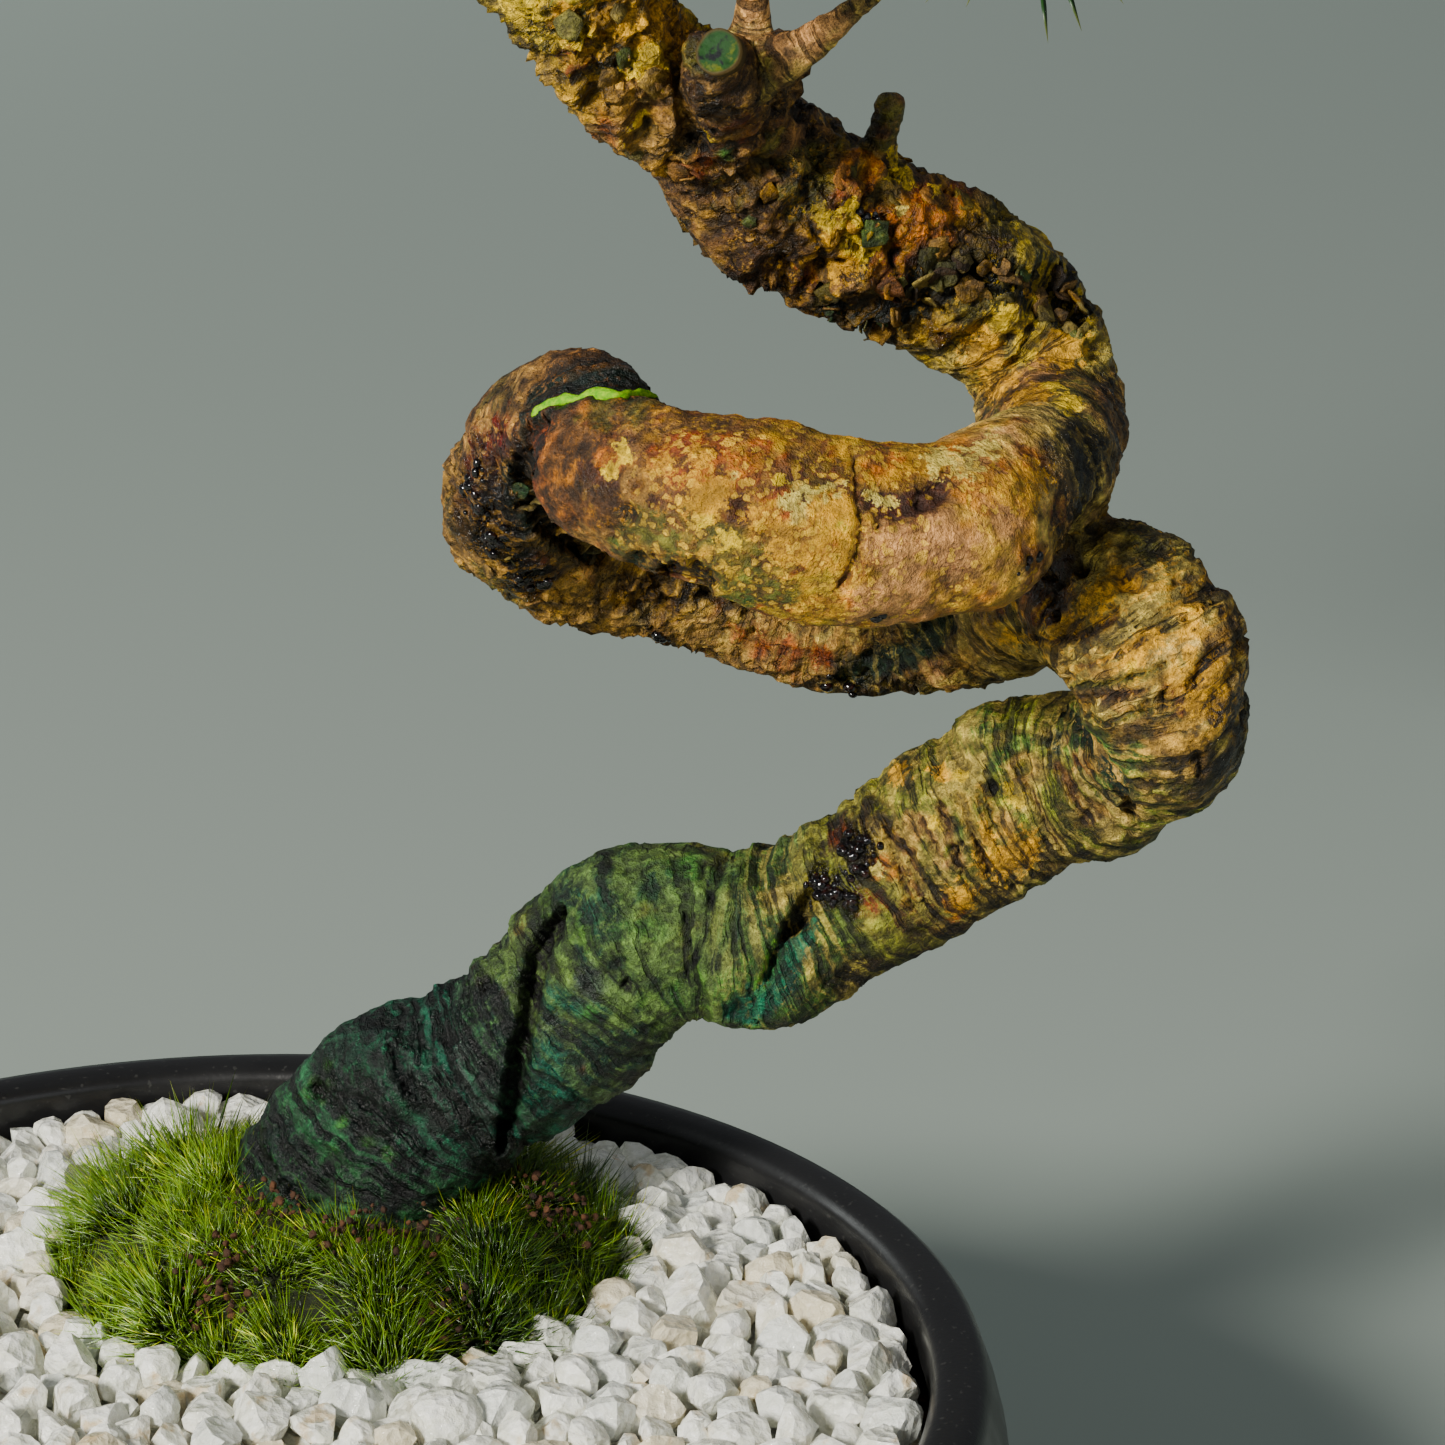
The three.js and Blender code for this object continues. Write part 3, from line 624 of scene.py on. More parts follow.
# %% The gravel bed
BED_BOTTOM, BED_TOP = 62.3, 66.3
BED_RINGS = 12
bpy.ops.mesh.primitive_cylinder_add(
    vertices=96, radius=BED_RADIUS * MM, depth=(BED_TOP - BED_BOTTOM) * MM,
    location=(0, 0, (BED_TOP + BED_BOTTOM) / 2 * MM),
)
bed = named("gravel_bed")
select_faces(bed, lambda face: face.normal.z > 0.9)
for _ in range(BED_RINGS):
    bpy.ops.mesh.inset(thickness=BED_RADIUS / (BED_RINGS + 1) * MM)
bpy.ops.object.mode_set(mode="OBJECT")
bed_points = points_of(bed)
for point in bed_points:
    if point[2] > BED_TOP - 0.1:
        point[2] += 0.9 * noise.noise(Vector(point) / 4)
move_points(bed, bed_points)
bpy.ops.mesh.primitive_cylinder_add(vertices=64, radius=1 * MM, depth=12 * MM)
hole = bpy.context.object
hole.scale = (*(MOSS_RADII - 1), 1)
hole.location = (*(MOSS_MIDDLE * MM), 65 * MM)
cut_away(bed, named("moss_hole"))

# %% [markdown]
# Quartz is white and lets light in a little way, which subsurface scattering gives. Some
# stones are greyer or yellower than the rest, iron has left pale rust on a few of their
# faces, and the broken surface is grainy like lump sugar.

# %% Quartz
white_quartz = Finish("broken_quartz", IOR=1.5, Subsurface_Weight=0.15, Subsurface_Scale=0.004)
white_quartz.shader.inputs["Subsurface Radius"].default_value = (1.0, 0.95, 0.85)
here = white_quartz.place()
stone = white_quartz.attribute("stone", "Fac")
veins = white_quartz.ramp(white_quartz.noise(here, 2.6, 3, 0.65), 0.32, 0.68)
milk = white_quartz.mix(veins, colour(230, 231, 214), colour(255, 255, 246))
grey = white_quartz.times(white_quartz.ramp(stone, 0.24, 0.1), 0.5)
milk = white_quartz.mix(grey, milk, colour(208, 214, 210))
yellow_share = white_quartz.times(white_quartz.ramp(stone, 0.84, 0.97), 0.6)
stained = white_quartz.mix(yellow_share, milk, colour(216, 194, 142))
patch = white_quartz.ramp(white_quartz.noise(here, 4.5, 3, 0.6), 0.56, 0.68)
rusty = white_quartz.times(patch, white_quartz.ramp(stone, 0.2, 0.8, 0.1, 0.7))
sugar = white_quartz.noise(here, 0.7, 3, 0.7)
chips = white_quartz.cells(here, 1.6)
white_quartz.set(
    Base_Color=white_quartz.mix(rusty, stained, colour(208, 176, 118)),
    Roughness=white_quartz.ramp(sugar, 0.4, 0.6, 0.08, 0.32),
    Normal=white_quartz.bump(sugar, 0.35, 0.8, white_quartz.bump(chips, 0.55, 1.0)),
)
for piece in (upper_stones, lower_stones, bed):
    finish_piece(piece, "gravel", white_quartz.material, "gravel")

# %% [markdown]
# ## The wood
# The trunk, its boughs, the stubs of cut twigs and the roots grew as one piece. Their middle
# lines and thicknesses, in millimetres, are those of the measured model. Each is a smooth
# line with a round section, and a voxel remesh melts them all into one closed skin, as wood
# grows together where two limbs meet.

# %% The routes of trunk, boughs, stubs and roots
TRUNK_ROUTE = [
    (11, 41, 47, 11), (11, 41, 58, 15), (12, 40.5, 71, 17), (16.5, 39.5, 83, 14.8), (23, 39, 92.5, 12.8),
    (33, 39, 98.5, 12.5), (42.5, 38, 106.5, 11.9), (50.5, 37, 114.5, 11.6), (58, 36, 117.5, 10.8),
    (67.5, 35, 117.5, 11.3), (77.5, 34, 122, 10.5), (87.5, 33, 129, 10.9), (98, 32, 136, 11.2),
    (107, 28.5, 141, 10.6), (113.5, 21, 147, 10.2), (115, 13.5, 155, 10.5), (112, 11.5, 163, 10.9),
    (107.5, 18, 167.5, 9.9), (102, 29, 164.5, 9.2), (95, 41, 159.5, 8.9), (87, 49, 154.5, 9),
    (78, 53, 153.5, 9.2), (68, 54, 155, 9.1), (56.5, 53, 159, 8.9), (45.5, 50, 162.5, 9.2),
    (39, 43.5, 167.5, 9.5), (37.5, 33.5, 176, 9.2), (41, 24, 185.5, 8.9), (46, 13, 190.3, 8.5),
    (49, 2, 188.5, 8.8), (57, -5, 187.5, 9.7), (66, -7, 185.5, 10.3), (76.5, -6, 183, 10.4),
    (87, -3, 182.5, 9.7), (95, 5, 184, 8.8), (100.5, 16, 184.5, 7.8), (102.5, 30, 183.5, 8.3),
    (102.5, 41, 182.5, 9.1), (101, 46.5, 189, 9.4), (96.5, 46.5, 195.5, 9.8), (88.5, 42, 202, 10.4),
    (76.5, 36, 208.5, 10.6), (67.5, 31, 215.5, 10), (59.5, 26, 224, 9), (53, 21.5, 230.5, 8.9),
    (47.5, 16.5, 238, 9.4), (42, 12, 246.5, 9.2), (35, 8, 256, 8.8), (27, 5, 266, 8.4),
    (20.5, 3, 277, 7.9), (18, 2, 289, 7.3), (22.5, 2, 300, 6.7), (31.5, 3, 309, 6), (39.5, 4, 318.5, 5.3),
    (42, 4, 330, 4.6), (39, 3, 342, 3.9), (34.5, 2, 354, 3.2), (32.5, 2, 366, 2.5), (33, 2, 378, 1.9),
]
BOUGHS = {
    "left": [
        (25, 5, 268, 5.6), (10, 7, 271, 4.6), (-10, 10, 273, 3.7), (-34, 13, 277, 2.9), (-50, 14, 283, 2.2),
    ],
    "right": [
        (22, 3, 276, 5.2), (40, 0, 279, 4.4), (64, -4, 282, 3.6), (92, -8, 285, 2.7), (106, -9, 291, 2.1),
    ],
    "back": [(20, 5, 280, 4.8), (20, 22, 283, 3.9), (25, 44, 286, 3), (29, 60, 292, 2.1)],
    "front": [(19, 2, 288, 4.4), (21, -14, 288, 3.6), (28, -32, 289, 2.8), (34, -46, 294, 2)],
    "upper_right": [(35, 3, 313, 4), (50, 3, 320, 3.3), (65, 4, 329, 2.6), (74, 4, 338, 1.9)],
    "upper_left": [(41, 4, 328, 3.5), (26, 6, 334, 2.9), (6, 8, 340, 2.3), (-8, 9, 349, 1.8)],
    "thin_twig": [(64, 10, 232, 2.2), (65.5, 9, 240, 1.8), (63, 3, 249, 1.6), (58, -10, 255, 1.4)],
    "small_twig": [
        (64, 8, 232, 2.2), (71, 6, 236, 1.8), (77, 4, 241, 1.6), (82, 1, 246, 1.5), (88, -14, 253, 1.4),
    ],
}
STUBS = {
    "cut_branch": [(59, 24, 223, 7.5), (62.5, 16, 228.5, 5), (61.5, 6, 233, 3.5), (60.5, 0, 236.5, 2.9)],
    "fork": [(61, 24, 226, 7), (68, 22, 231, 4.6), (70, 21, 234, 2.6)],
    "snag": [(80, 33, 215, 2.2), (81, 31, 220.5, 1.9), (82, 30, 226, 1.8)],
}
ROOTS = {
    "left_root": [(8, 40, 58, 6), (-8, 36, 50, 4), (-26, 30, 40, 2)],
    "right_root": [(14, 37, 58, 6), (26, 22, 50, 4), (34, 4, 40, 2)],
    "back_root": [(13, 45, 58, 6), (22, 58, 50, 4), (32, 68, 42, 2)],
}
LIMBS = {"trunk": TRUNK_ROUTE, **BOUGHS, **STUBS, **ROOTS}
print("limbs:", len(LIMBS))

# %% One skin for all limbs
LIMB_STEP = 1.0
SKIN_VOXEL = 1.28


def limb_tube(name, route, sides=5, step=LIMB_STEP):
    """A limb as a tube whose thickness follows its route."""
    samples = smooth_line(route, step)
    bpy.ops.curve.primitive_nurbs_path_add()
    piece = bpy.context.object
    piece.name = name
    curve = piece.data
    curve.splines.clear()
    spline = curve.splines.new("POLY")
    spline.points.add(len(samples) - 1)
    spline.points.foreach_set("co", with_alpha(samples[:, :3] * MM).ravel())
    spline.points.foreach_set("radius", samples[:, 3] * MM)
    curve.dimensions = "3D"
    curve.bevel_depth = 1
    curve.bevel_resolution = sides
    curve.use_fill_caps = True
    only(piece)
    bpy.ops.object.convert(target="MESH")
    return bpy.context.object


tubes = [limb_tube(name, route) for name, route in LIMBS.items()]
only(*tubes)
bpy.ops.object.join()
wood = named("trunk_and_boughs")
modify(wood, "REMESH", mode="VOXEL", voxel_size=SKIN_VOXEL * MM)
modify(wood, "SMOOTH", factor=0.5, iterations=5)
print("faces in the skin:", len(wood.data.polygons))

# %% [markdown]
# The camera sees the lower trunk from close by, so its near side is divided once more. The
# crown and the far side keep the coarser skin, which saves triangles where no one looks
# closely.

# %% A finer skin on the near side
CLOSE_LOW, CLOSE_HIGH = 78, 266
EDGE_MARGIN = 20


def seen_close(face):
    """True for faces of the lower trunk that look towards the camera."""
    middle = np.array(face.center) / MM
    towards = CAMERA_PLACE - middle
    return CLOSE_LOW < middle[2] < CLOSE_HIGH and np.dot(face.normal, towards) > -EDGE_MARGIN


select_faces(wood, seen_close)
bpy.ops.mesh.subdivide(number_cuts=1, smoothness=0.4)
bpy.ops.object.mode_set(mode="OBJECT")
skin = points_of(wood)
print("points in the finer skin:", len(skin))

# %% [markdown]
# ## Where each point of the bark lies
# Bark follows the limb: wrinkles run round it and cracks run along it. So every point gets
# its distance along the limb and its place across it, as if the limb were pulled straight.
# Patterns that use these coordinates bend with the wood and need no seam.

# %% The limbs pulled straight
SAMPLE_STEP = 0.6
# Boughs and stubs count their length from other starts, so that they differ from the trunk.
LIMB_START, LIMB_APART = 1000, 100
POINTS_AT_ONCE = 3000


def measured(route, start):
    """Samples along a limb: place, thickness, length so far, direction and two sideways axes."""
    samples = smooth_line(route, SAMPLE_STEP)
    places, thickness = samples[:, :3], samples[:, 3]
    steps = np.linalg.norm(np.diff(places, axis=0), axis=1)
    lengths = start + np.concatenate([[0], np.cumsum(steps)])
    along = unit(np.gradient(places, axis=0))
    side = np.array([0, -1.0, 0.1])
    sides = []
    for direction in along:
        side = side - direction * side.dot(direction)
        side = side / np.linalg.norm(side)
        sides.append(side)
    sides = np.array(sides)
    return places, thickness, lengths, along, sides, np.cross(along, sides)


parts = []
for count, (name, route) in enumerate(LIMBS.items()):
    parts.append(measured(route, 0 if name == "trunk" else LIMB_START + LIMB_APART * count))
MIDDLE, THICK, LENGTH, ALONG, SIDE, OTHER = (np.concatenate(column) for column in zip(*parts))
TRUNK_LENGTH = parts[0][2][-1]


def nearest_samples(points):
    """For each point, the sample of the limb whose skin it is closest to."""
    found = []
    for chunk in np.array_split(points, max(1, len(points) // POINTS_AT_ONCE)):
        distance = np.sqrt(
            (chunk**2).sum(1)[:, None] + (MIDDLE**2).sum(1)[None] - 2 * chunk @ MIDDLE.T
        )
        found.append(np.argmin(distance - THICK[None], axis=1))
    return np.concatenate(found)


owner = nearest_samples(skin)
offset = skin - MIDDLE[owner]
straight = np.column_stack([
    LENGTH[owner] + (offset * ALONG[owner]).sum(1),
    (offset * SIDE[owner]).sum(1),
    (offset * OTHER[owner]).sum(1),
])
distance_along = straight[:, 0]
on_trunk = distance_along < LIMB_START - LIMB_APART / 2
print("trunk length:", round(TRUNK_LENGTH), "mm")

# %% [markdown]
# A line of sight through a pixel of the photograph meets the trunk in one point. So a knot,
# a crack or a stain can be named by its pixel, and it then sits on the bark from any side.

# %% From a pixel to a point on the bark


def on_bark(u, v):
    """The point where pixel (u, v) of the photograph meets the wood, in millimetres."""
    ray = line_of_sight(u, v)
    reach = MIDDLE - CAMERA_PLACE
    depth = reach @ ray
    miss = np.linalg.norm(reach - depth[:, None] * ray, axis=1)
    inside = np.clip(THICK**2 - miss**2, 0, None)
    hit = np.where(miss < THICK, depth - np.sqrt(inside), np.inf)
    if np.isinf(hit).all():
        edge = np.argmin(miss - THICK)
        return MIDDLE[edge] + unit(CAMERA_PLACE + ray * depth[edge] - MIDDLE[edge]) * THICK[edge]
    return CAMERA_PLACE + ray * hit.min()


def grain(points, size, seed=0):
    """Smooth noise from -1 to 1, with lumps of about that size in millimetres."""
    shifted = points / np.asarray(size) + 17.3 * seed
    return np.array([noise.noise(point) for point in map(Vector, shifted)])


def rugged(points, size, seed=0):
    """Noise in four layers, each half as large as the last: rough like broken bark."""
    shifted = points / np.asarray(size) + 11.9 * seed
    return np.array([noise.fractal(point, 0.7, 2.1, 4) for point in map(Vector, shifted)])


def cells(points, size, seed=0):
    """Cell noise: how far from a cell's border, and one random value for each cell."""
    borders, values = [], []
    for point in map(Vector, points / np.asarray(size) + 31.7 * seed):
        distances, centres = noise.voronoi(point)
        borders.append(distances[1] - distances[0])
        values.append(noise.cell(centres[0] * 5.3))
    return np.array(borders), np.array(values)


print("pixel (722, 48) is on the cut branch at", on_bark(722, 48).round(), "mm")

# %% [markdown]
# ## The form of the wood
# First come the large forms: swellings at the bends, hollows, the flare at the foot and the
# lumps that make each stretch of a trained trunk a little different.

# %% Swellings and hollows
# Each is a pixel (u, v), a radius and a height in millimetres. A hollow has a negative height.
SWELLINGS = {
    "shoulder by the foot": (352, 1040, 8, 2.0),
    "neck above the shoulder": (430, 1022, 7, -1.2),
    "lip left of the fissure": (525, 925, 8, 1.6),
    "shoulder right of the fissure": (622, 868, 11, 2.2),
    "top of the first bend": (600, 880, 6, 0.8),
    "belly under the fissure": (588, 1100, 8, 1.0),
    "waist": (735, 868, 9, -1.0),
    "belly under the lens crack": (750, 1012, 9, 1.8),
    "shoulder after the band": (935, 750, 9, 1.2),
    "knee below the bend": (1010, 712, 8, 1.2),
    "left cheek of the bend": (1012, 585, 7, 1.2),
    "brown lobe": (985, 612, 5, 1.4),
    "outer bend": (1212, 640, 10, 0.9),
    "lower heel of the bend": (1170, 800, 8, 1.4),
    "heel notch": (1120, 812, 5, -1.2),
    "coil's left bow": (470, 470, 9, 0.8),
    "end of the front strand": (560, 460, 8, 0.8),
    "back of the front strand": (700, 455, 9, 0.6),
    "cheek of the front strand": (840, 560, 9, 1.0),
    "end of the cheek": (985, 470, 8, 0.8),
    "collar of the upper bend": (1010, 300, 8, 1.2),
    "bulge at the lower left": (738, 258, 8, 1.8),
    "orange shoulder": (930, 215, 8, 1.0),
    "crotch": (752, 90, 9, 1.6),
    "left brow": (615, 110, 8, 1.4),
}
LUMPS = [(1.15, 17, 1), (0.7, 8, 2)]  # height and size in millimetres, and a seed
FOOT_RIBS, RIB_HEIGHT, RIB_TWIST = 3, 0.84, 9
# The skin isn't quite round, so only a share of the depth counts when a mark is drawn on it.
DEPTH_SHARE = 0.4
CRACK_DEPTH_SHARE = 0.15


def distance_to(points, place):
    return np.linalg.norm(points - place, axis=1)


def flattened(points, place, share=DEPTH_SHARE):
    """The same points with their depth, as the camera sees it from a place, made smaller."""
    ray = unit(place - CAMERA_PLACE)
    return points - (1 - share) * (points @ ray)[:, None] * ray


facing = read(wood, "normal")
rise = sum(height * grain(skin, size, seed) for height, size, seed in LUMPS)
rise *= np.clip(THICK[owner] / 9, 0.15, 1)
for u, v, radius, height in SWELLINGS.values():
    rise += height * np.exp(-((distance_to(skin, on_bark(u, v)) / radius) ** 2))
flare = smooth_step(-distance_along, -52, -22) * on_trunk
ribs = np.sin(FOOT_RIBS * np.arctan2(straight[:, 1], straight[:, 2]) + distance_along / RIB_TWIST)
rise += RIB_HEIGHT * flare * (1 + ribs)
skin = skin + facing * rise[:, None]
move_points(wood, skin)
facing = read(wood, "normal")
print("largest rise:", round(rise.max(), 1), "mm")

# %% [markdown]
# ## Tones of the bark
# The bark changes along the trunk: nearly black green at the wet foot, then green, olive and
# straw, brown and red round the coil, gold on the front strand and dark flaky plates above.
# The list gives the tones at a few distances from the root. The first tone is the ground,
# the second comes in patches and the third in flecks. The last two numbers say how strongly
# the bark is wrinkled and how strongly it breaks into plates.

# %% Tones of the bark
TONES = {
    "night": (5, 16, 14), "pine": (8, 42, 28), "teal": (10, 84, 64), "leaf": (50, 96, 36),
    "fern": (60, 94, 30), "sage": (84, 108, 52), "olive": (96, 92, 34), "moss": (124, 130, 40),
    "straw": (182, 158, 78), "sand": (198, 164, 92), "tan": (176, 132, 66), "skin": (208, 150, 94),
    "gold": (204, 150, 22), "lichen": (222, 186, 40), "lime": (150, 230, 4), "amber": (196, 112, 26),
    "rust": (150, 66, 22), "brick": (112, 44, 20), "umber": (74, 47, 22), "cocoa": (56, 30, 20),
    "bark": (104, 72, 38), "wine": (70, 16, 12), "black_and_shade": (16, 13, 10), "resin": (10, 5, 7),
    "slate": (54, 64, 58), "cream": (226, 204, 104), "emerald": (12, 88, 60), "shadow_crescent": (7, 20, 16),
}
SATURATION = 1.08


def vivid(light):
    """A tone moved away from grey."""
    return np.clip(light.mean() + (light - light.mean()) * SATURATION, 0.001, 1)


TONES = {name: vivid(tone(*value)) for name, value in TONES.items()}

ZONES = [
    (0, "umber", "black_and_shade", "bark", 0.4, 0.2),
    (28, "night", "pine", "leaf", 1.0, 0.3),
    (58, "night", "slate", "teal", 1.0, 0.3),
    (72, "pine", "umber", "sage", 0.8, 0.3),
    (84, "pine", "fern", "sage", 0.7, 0.2),
    (96, "fern", "olive", "sage", 1.0, 0.0),
    (106, "fern", "sage", "straw", 1.0, 0.0),
    (116, "olive", "umber", "moss", 1.0, 0.1),
    (126, "olive", "moss", "straw", 1.0, 0.0),
    (140, "moss", "olive", "straw", 1.0, 0.0),
    (152, "moss", "olive", "straw", 1.0, 0.0),
    (164, "moss", "olive", "sand", 1.2, 0.1),
    (178, "straw", "sand", "gold", 1.3, 0.1),
    (194, "straw", "tan", "gold", 1.2, 0.2),
    (208, "sand", "olive", "straw", 0.7, 0.4),
    (232, "tan", "olive", "straw", 0.5, 0.5),
    (250, "tan", "rust", "straw", 0.5, 0.6),
    (270, "sand", "bark", "gold", 0.4, 0.6),
    (288, "tan", "bark", "gold", 0.4, 0.6),
    (306, "bark", "olive", "tan", 0.4, 0.5),
    (322, "bark", "umber", "tan", 0.4, 0.4),
    (336, "umber", "bark", "rust", 0.3, 0.3),
    (350, "bark", "rust", "gold", 0.2, 0.1),
    (362, "gold", "rust", "lichen", 0.2, 0.0),
    (376, "gold", "amber", "bark", 0.2, 0.0),
    (388, "sand", "gold", "skin", 0.3, 0.0),
    (396, "sand", "straw", "cream", 0.5, 0.1),
    (407, "bark", "black_and_shade", "tan", 0.6, 0.3),
    (422, "bark", "olive", "tan", 0.6, 0.3),
    (432, "tan", "bark", "straw", 0.7, 0.3),
    (440, "straw", "gold", "lichen", 0.9, 0.2),
    (448, "straw", "gold", "lichen", 0.9, 0.2),
    (456, "straw", "bark", "lichen", 0.6, 0.5),
    (462, "bark", "olive", "gold", 0.4, 0.9),
    (478, "bark", "umber", "gold", 0.3, 0.9),
    (496, "bark", "olive", "tan", 0.4, 0.9),
    (510, "tan", "olive", "gold", 0.6, 0.8),
    (526, "straw", "olive", "lichen", 0.7, 0.7),
    (545, "bark", "tan", "gold", 0.6, 0.9),
    (600, "umber", "bark", "tan", 0.4, 1.0),
    (680, "bark", "umber", "tan", 0.3, 0.6),
    (720, "straw", "sand", "bark", 0.9, 0.0),
]
STOPS = np.array([zone[0] for zone in ZONES])


def along_trunk(column):
    """A column of the zones at every point: tones or numbers."""
    values = [zone[column] for zone in ZONES]
    if isinstance(values[0], str):
        values = [TONES[name] for name in values]
        return np.column_stack([np.interp(zone_at, STOPS, channel) for channel in np.transpose(values)])
    return np.interp(zone_at, STOPS, values)


BOUGH_ZONE = 600
TWIG_ZONE = 720
twigs_start = LIMB_START + LIMB_APART * list(LIMBS).index("thin_twig")
on_twig = (distance_along > twigs_start - 30) & (distance_along < twigs_start + 170)
zone_at = np.where(on_trunk, distance_along + 5 * grain(skin, 9, 3), BOUGH_ZONE)
zone_at = np.where(on_twig, TWIG_ZONE, zone_at)
ground, patches, flecks = along_trunk(1), along_trunk(2), along_trunk(3)
wrinkled, plated = along_trunk(4), along_trunk(5)
print("zones along the trunk:", len(ZONES))

# %% [markdown]
# ## Wrinkles and plates
# Where the trunk was bent, its bark is gathered into fine rings. Above the coil it is old and
# breaks into thick plates. Rings are noise that is stretched round the straightened limb.
# Plates are cells of noise, each one at its own height. Layered noise roughens both.

# %% Wrinkles and plates
RING_SPACING = 1.9
RING_DEPTH = 0.7
PLATE_SIZE = (6.5, 4.6, 4.6)
PLATE_HEIGHT = 1.6
ROUGH_SIZE = 5.0
ROUGH_HEIGHT = 0.95
RING_SWAY, PLATE_SHAKE = 2.2, 3.4
FOLD_SIZE, FOLD_HEIGHT = (5.5, 15, 15), 0.8
FINE_SIZE, FINE_HEIGHT = 1.9, 0.16

sway = rugged(skin, 9, 4)
swayed = straight + np.column_stack([RING_SWAY * sway, 0 * sway, 0 * sway])
groove = smooth_step(-grain(swayed, (RING_SPACING, 20, 20), 5), 0.0, 0.42) * wrinkled
folds = grain(straight + 2 * sway[:, None], FOLD_SIZE, 7) * wrinkled
rough = rugged(skin, ROUGH_SIZE, 8)
rise = ROUGH_HEIGHT * rough * (0.35 + plated) - RING_DEPTH * groove + FOLD_HEIGHT * folds
rise += FINE_HEIGHT * rugged(skin, FINE_SIZE, 9)

shake = np.column_stack([rugged(skin, 5, 9), rugged(skin, 5, 10), rugged(skin, 5, 11)])
plate_border, plate_value = cells(straight + PLATE_SHAKE * shake, PLATE_SIZE, 1)
plate_mask = smooth_step(plated + 0.3 * grain(skin, 9, 12), 0.3, 0.8)
rise += PLATE_HEIGHT * plate_mask * (plate_value - 0.45) * smooth_step(plate_border, 0.02, 0.3)
rise *= np.clip(THICK[owner] / 7, 0.2, 1)
# Grooves and the borders of plates are later painted darker, as painted shade.
furrow_shade = np.clip(0.8 * groove + 0.5 * plate_mask * (1 - smooth_step(plate_border, 0.02, 0.16)), 0, 1)
print("relief from", round(rise.min(), 1), "to", round(rise.max(), 1), "mm")

# %% [markdown]
# The colours start from the zones: the ground tone, patches of the second tone and flecks of
# the third. Raised bark is painted lighter and low bark darker, as painted light and shade, the
# undersides get painted shade, and each plate differs a little from the next.

# %% Ground colours
colours = ground.copy()


def lay_on(mask, wanted):
    """Lay a tone over the bark where the mask is 1."""
    colours[:] += (wanted - colours) * np.clip(mask, 0, 1)[:, None]


blotch = rugged(skin, 6.0, 15)
lay_on(0.85 * smooth_step(blotch, 0.0, 0.35), patches)
lay_on(0.8 * smooth_step(rugged(skin, 3.4, 17), 0.12, 0.4), flecks)
# Raised bark is painted lighter and low bark darker, as painted light and shade; the finer noise is the
# bark's own mottle.
colours *= np.exp(0.75 * rough + 0.5 * rugged(skin, 2.2, 18))[:, None]
colours *= (1 + 0.5 * plate_mask * (plate_value - 0.5))[:, None]
# The undersides are painted darker with umber, as painted shade.
painted_underside_shade = smooth_step(-facing[:, 2], 0.35, 0.95)
lay_on(0.25 * painted_underside_shade, TONES["umber"])
print("ground colours laid")

# %% [markdown]
# ## Stains and lichen
# Lichen, algae and resin mark the bark in places that the photograph shows. Each patch is a
# pixel (u, v) and a radius in millimetres, and noise breaks its edge.

